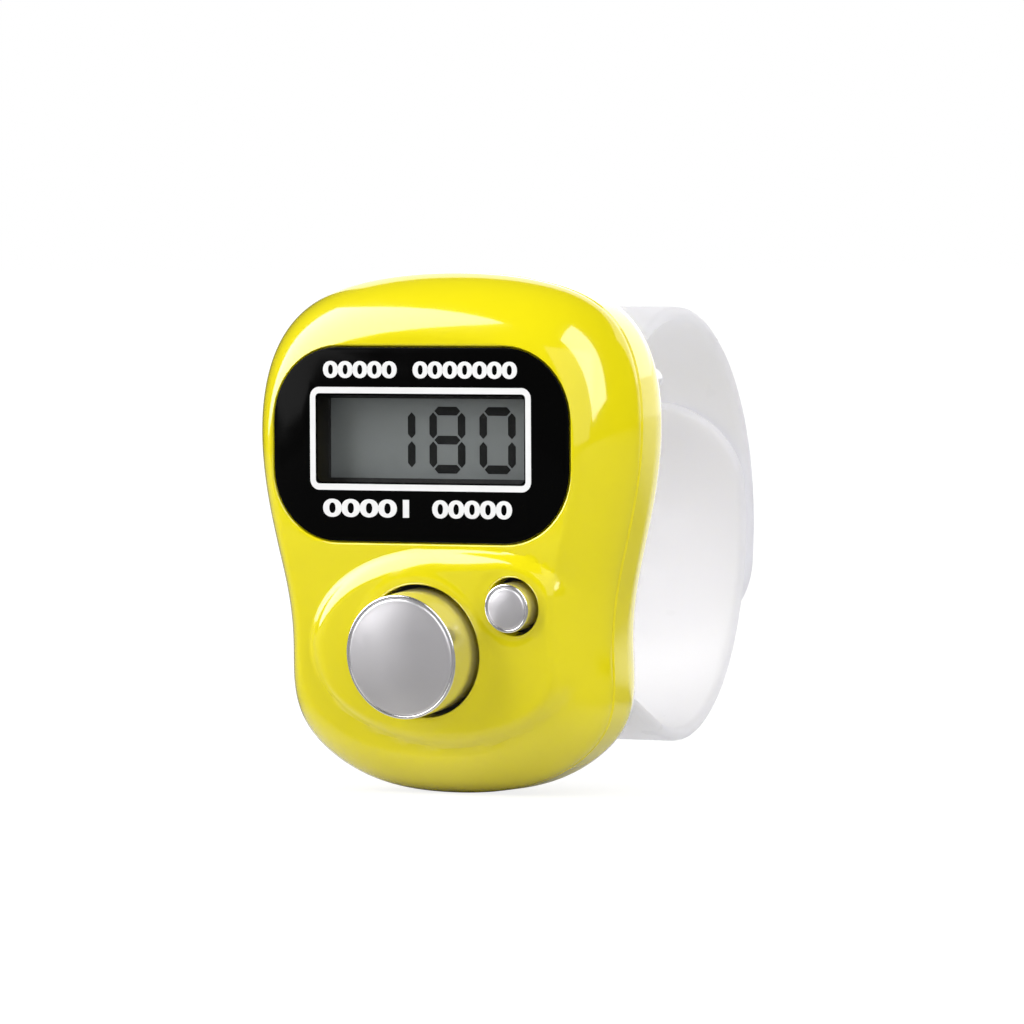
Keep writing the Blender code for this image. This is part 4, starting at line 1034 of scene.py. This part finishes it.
def make_straps():
    """Upper strap with its holes outside, lower strap with its studs inside."""
    upper_tail = ring_path(UPPER_REACH, RING_HALF_HEIGHT + STRAP_OFFSET, 1)
    lower_tail = ring_path(UPPER_REACH - STRAP_OFFSET, RING_HALF_HEIGHT - STRAP_OFFSET, -1)
    arms = {side: arm_path(side) for side in (1, -1)}
    arm_length = lengths_along(arms[1])[-1]
    upper = make_strap("upper_strap", arms[1] + upper_tail[1:], arm_length + UPPER_LENGTH)
    lower = make_strap("lower_strap", arms[-1] + lower_tail[1:], arm_length + LOWER_LENGTH)
    half = STRAP_THICKNESS / 2
    mouth = HOLE_RADIUS + HOLE_CHAMFER
    hole = ((0.0, -OVERRUN), (mouth, -OVERRUN), (mouth, -half), (HOLE_RADIUS, -half + HOLE_CHAMFER),
            (HOLE_RADIUS, half - HOLE_CHAMFER), (mouth, half), (mouth, OVERRUN), (0.0, OVERRUN))
    crown = half - STUD_RISE
    stud = [(0.0, crown)]
    for turn in arc(80, 0, 8):
        stud.append((STUD_RADIUS * math.cos(turn), crown + STUD_ROUNDING * (1 - math.sin(turn))))
    stud += [(STUD_RADIUS, STRAP_OFFSET), (0.0, STRAP_OFFSET)]
    lengths = lengths_along(upper_tail)
    for index in range(HOLE_COUNT):
        place = across_strap(*walk(upper_tail, lengths, FIRST_HOLE + index * HOLE_PITCH))
        cut(upper, turned("strap_hole", hole, place, sides=HOLE_SIDES))
        if index in STUDDED_HOLES:
            join(lower, turned("stud", stud, place, sides=HOLE_SIDES))
    for item, body, side in ((upper, "upper_tail", 1), (lower, "lower_tail", -1)):
        shade(item, STRAP_SHARP_ANGLE)
        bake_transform(item)
        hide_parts(f"{item.name}_root", f"{item.name}_tail")


# Studio

def make_camera():
    """The photograph's camera, with the scene's origin on its pixel."""
    back = towards(CAMERA_AZIMUTH, CAMERA_ELEVATION)
    level = towards(CAMERA_AZIMUTH + 90.0, 0.0)
    upright = back.cross(level)
    roll = math.radians(CAMERA_ROLL)
    right = level * math.cos(roll) - upright * math.sin(roll)
    up = level * math.sin(roll) + upright * math.cos(roll)
    middle = PICTURE_SIZE / 2
    offset = (right * (ORIGIN_PIXEL[0] - middle) - up * (ORIGIN_PIXEL[1] - middle)) / PIXELS_PER_MM
    data = bpy.data.cameras.new("camera")
    data.sensor_width = 36.0
    data.lens = PIXELS_PER_MM * CAMERA_DISTANCE / PICTURE_SIZE * data.sensor_width
    data.clip_start = 0.01
    data.clip_end = 100.0
    camera = bpy.data.objects.new("camera", data)
    turn = Matrix((right, up, back)).transposed().to_4x4()
    camera.matrix_world = Matrix.Translation((back * CAMERA_DISTANCE - offset) * MM) @ turn
    bpy.context.scene.collection.objects.link(camera)
    bpy.context.scene.camera = camera


def floor_finish():
    """Pale and matt, near white to the camera. To mirrored rays it shows painted reflections: a pale pool
    near the object, darker further out, and a white glow straight behind.
    """
    material = bpy.data.materials.new("floor")
    material.use_nodes = True
    tree = material.node_tree
    path = add_node(tree, "LightPath").outputs
    place = add_node(tree, "TexCoord").outputs["Object"]
    away = add_node(tree, "VectorMath", place, operation="LENGTH").outputs["Value"]

    # Painted reflection: a pale pool round the object that only mirrored rays see, darker further out
    reflected_pool = add_node(tree, "MapRange", Value=away, From_Min=(REFLECTED_POOL_RADIUS - REFLECTED_POOL_SOFTNESS / 2) * MM,
                    From_Max=(REFLECTED_POOL_RADIUS + REFLECTED_POOL_SOFTNESS / 2) * MM, To_Min=FLOOR_COLOUR,
                    To_Max=FLOOR_GLOSS_COLOUR)
    matt = add_node(tree, "MapRange", Value=path["Is Glossy Ray"], To_Min=FLOOR_COLOUR,
                    To_Max=reflected_pool.outputs["Result"])
    tone = add_node(tree, "MapRange", Value=path["Is Camera Ray"], To_Min=matt.outputs["Result"],
                    To_Max=FLOOR_SEEN_COLOUR)
    shader = feed(tree, tree.nodes["Principled BSDF"], Base_Color=tone.outputs["Result"], Roughness=0.9,
                  Specular_IOR_Level=0.0)

    clear = add_node(tree, "MapRange", Value=away, From_Min=FLOOR_SHADOW_REACH / 3 * MM,
                     From_Max=FLOOR_SHADOW_REACH * MM, To_Min=1 - FLOOR_SHADOW, To_Max=1.0)
    clear.interpolation_type = "SMOOTHSTEP"
    # Painted reflection: straight behind the object the floor glows white to mirrored rays
    heading = add_node(tree, "VectorMath", place, operation="NORMALIZE")
    split = add_node(tree, "SeparateXYZ", heading.outputs["Vector"])
    behind = add_node(tree, "MapRange", Value=split.outputs["Y"], From_Min=BACK_START, From_Max=BACK_END)
    mirrored = add_node(tree, "Math", path["Is Glossy Ray"], behind.outputs["Result"], operation="MULTIPLY")
    share = add_node(tree, "Math", path["Is Camera Ray"], clear.outputs["Result"],
                     mirrored.outputs["Value"], operation="MULTIPLY_ADD")
    glow = add_node(tree, "Emission", Color=WHITE, Strength=FLOOR_GLOW)
    mix = add_node(tree, "MixShader", share.outputs["Value"], shader.outputs["BSDF"],
                   glow.outputs["Emission"])
    feed(tree, tree.nodes["Material Output"], Surface=mix.outputs["Shader"])
    return material


def make_floor():
    """A pale floor just under the object, which keeps the object's shadow."""
    level = CAD_BOUNDS[0][2] / MM - FLOOR_GAP
    builder = bmesh.new()
    builder.faces.new([builder.verts.new(Vector((side * FLOOR_SIZE, end * FLOOR_SIZE, level)) * MM)
                       for side, end in CORNERS])
    new_object("floor", builder, floor_finish())


def make_world():
    """White to the camera. The object sees it dark, with a bright part straight behind."""
    world = bpy.data.worlds.new("studio")
    bpy.context.scene.world = world
    world.use_nodes = True
    tree = world.node_tree
    place = add_node(tree, "TexCoord")
    split = add_node(tree, "SeparateXYZ", place.outputs["Generated"])
    level = add_node(tree, "MapRange", Value=split.outputs["Y"], From_Min=BACK_START, From_Max=BACK_END,
                     To_Min=WORLD_FRONT, To_Max=WORLD_BACK)
    path = add_node(tree, "LightPath")
    strength = add_node(tree, "Mix", Factor=path.outputs["Is Camera Ray"], A=level.outputs["Result"], B=1.0)
    feed(tree, tree.nodes["Background"], Color=WHITE, Strength=strength.outputs["Result"])


def softbox(name, low, high, breadth, radiance):
    """A rectangular lamp that fills the sky between two directions, with an even brightness."""
    foot, top = towards(*low), towards(*high)
    middle = (foot + top).normalized()
    length = 2 * LAMP_DISTANCE * math.tan(foot.angle(top) / 2)
    width = 2 * LAMP_DISTANCE * math.tan(math.radians(breadth / 2))
    upright = (top - foot).normalized()
    data = bpy.data.lights.new(name, "AREA")
    data.shape = "RECTANGLE"
    data.size = width * MM
    data.size_y = length * MM
    data.energy = radiance * math.pi * width * length * MM * MM
    lamp = bpy.data.objects.new(name, data)
    turn = Matrix((upright.cross(middle), upright, middle)).transposed().to_4x4()
    lamp.matrix_world = Matrix.Translation(middle * LAMP_DISTANCE * MM) @ turn
    bpy.context.scene.collection.objects.link(lamp)


finish_nodes()
make_front()
make_back()
make_film()
make_digits()
make_button("count_button", COUNT_RADIUS, COUNT_TOP, COUNT_STEM, 0.0, COUNT_DISTANCE, "count_key")
make_button("reset_button", RESET_RADIUS, RESET_TOP, RESET_STEM, RESET_X, RESET_DISTANCE, "reset_key")
make_membrane("count", COUNT_STEM)
make_membrane("reset", RESET_STEM)
for number, (screw_x, screw_height) in enumerate(SCREW_PLACES, start=1):
    make_screw(number, screw_x, screw_height)
make_straps()
make_camera()
make_floor()
make_world()
for lamp_name, lamp_values in (("left_softbox", LEFT_BOX), ("right_softbox", RIGHT_BOX),
                               ("fill", FILL_BOX), ("back_softbox", BACK_BOX)):
    softbox(lamp_name, *lamp_values)
bpy.context.scene.view_settings.view_transform = "Standard"
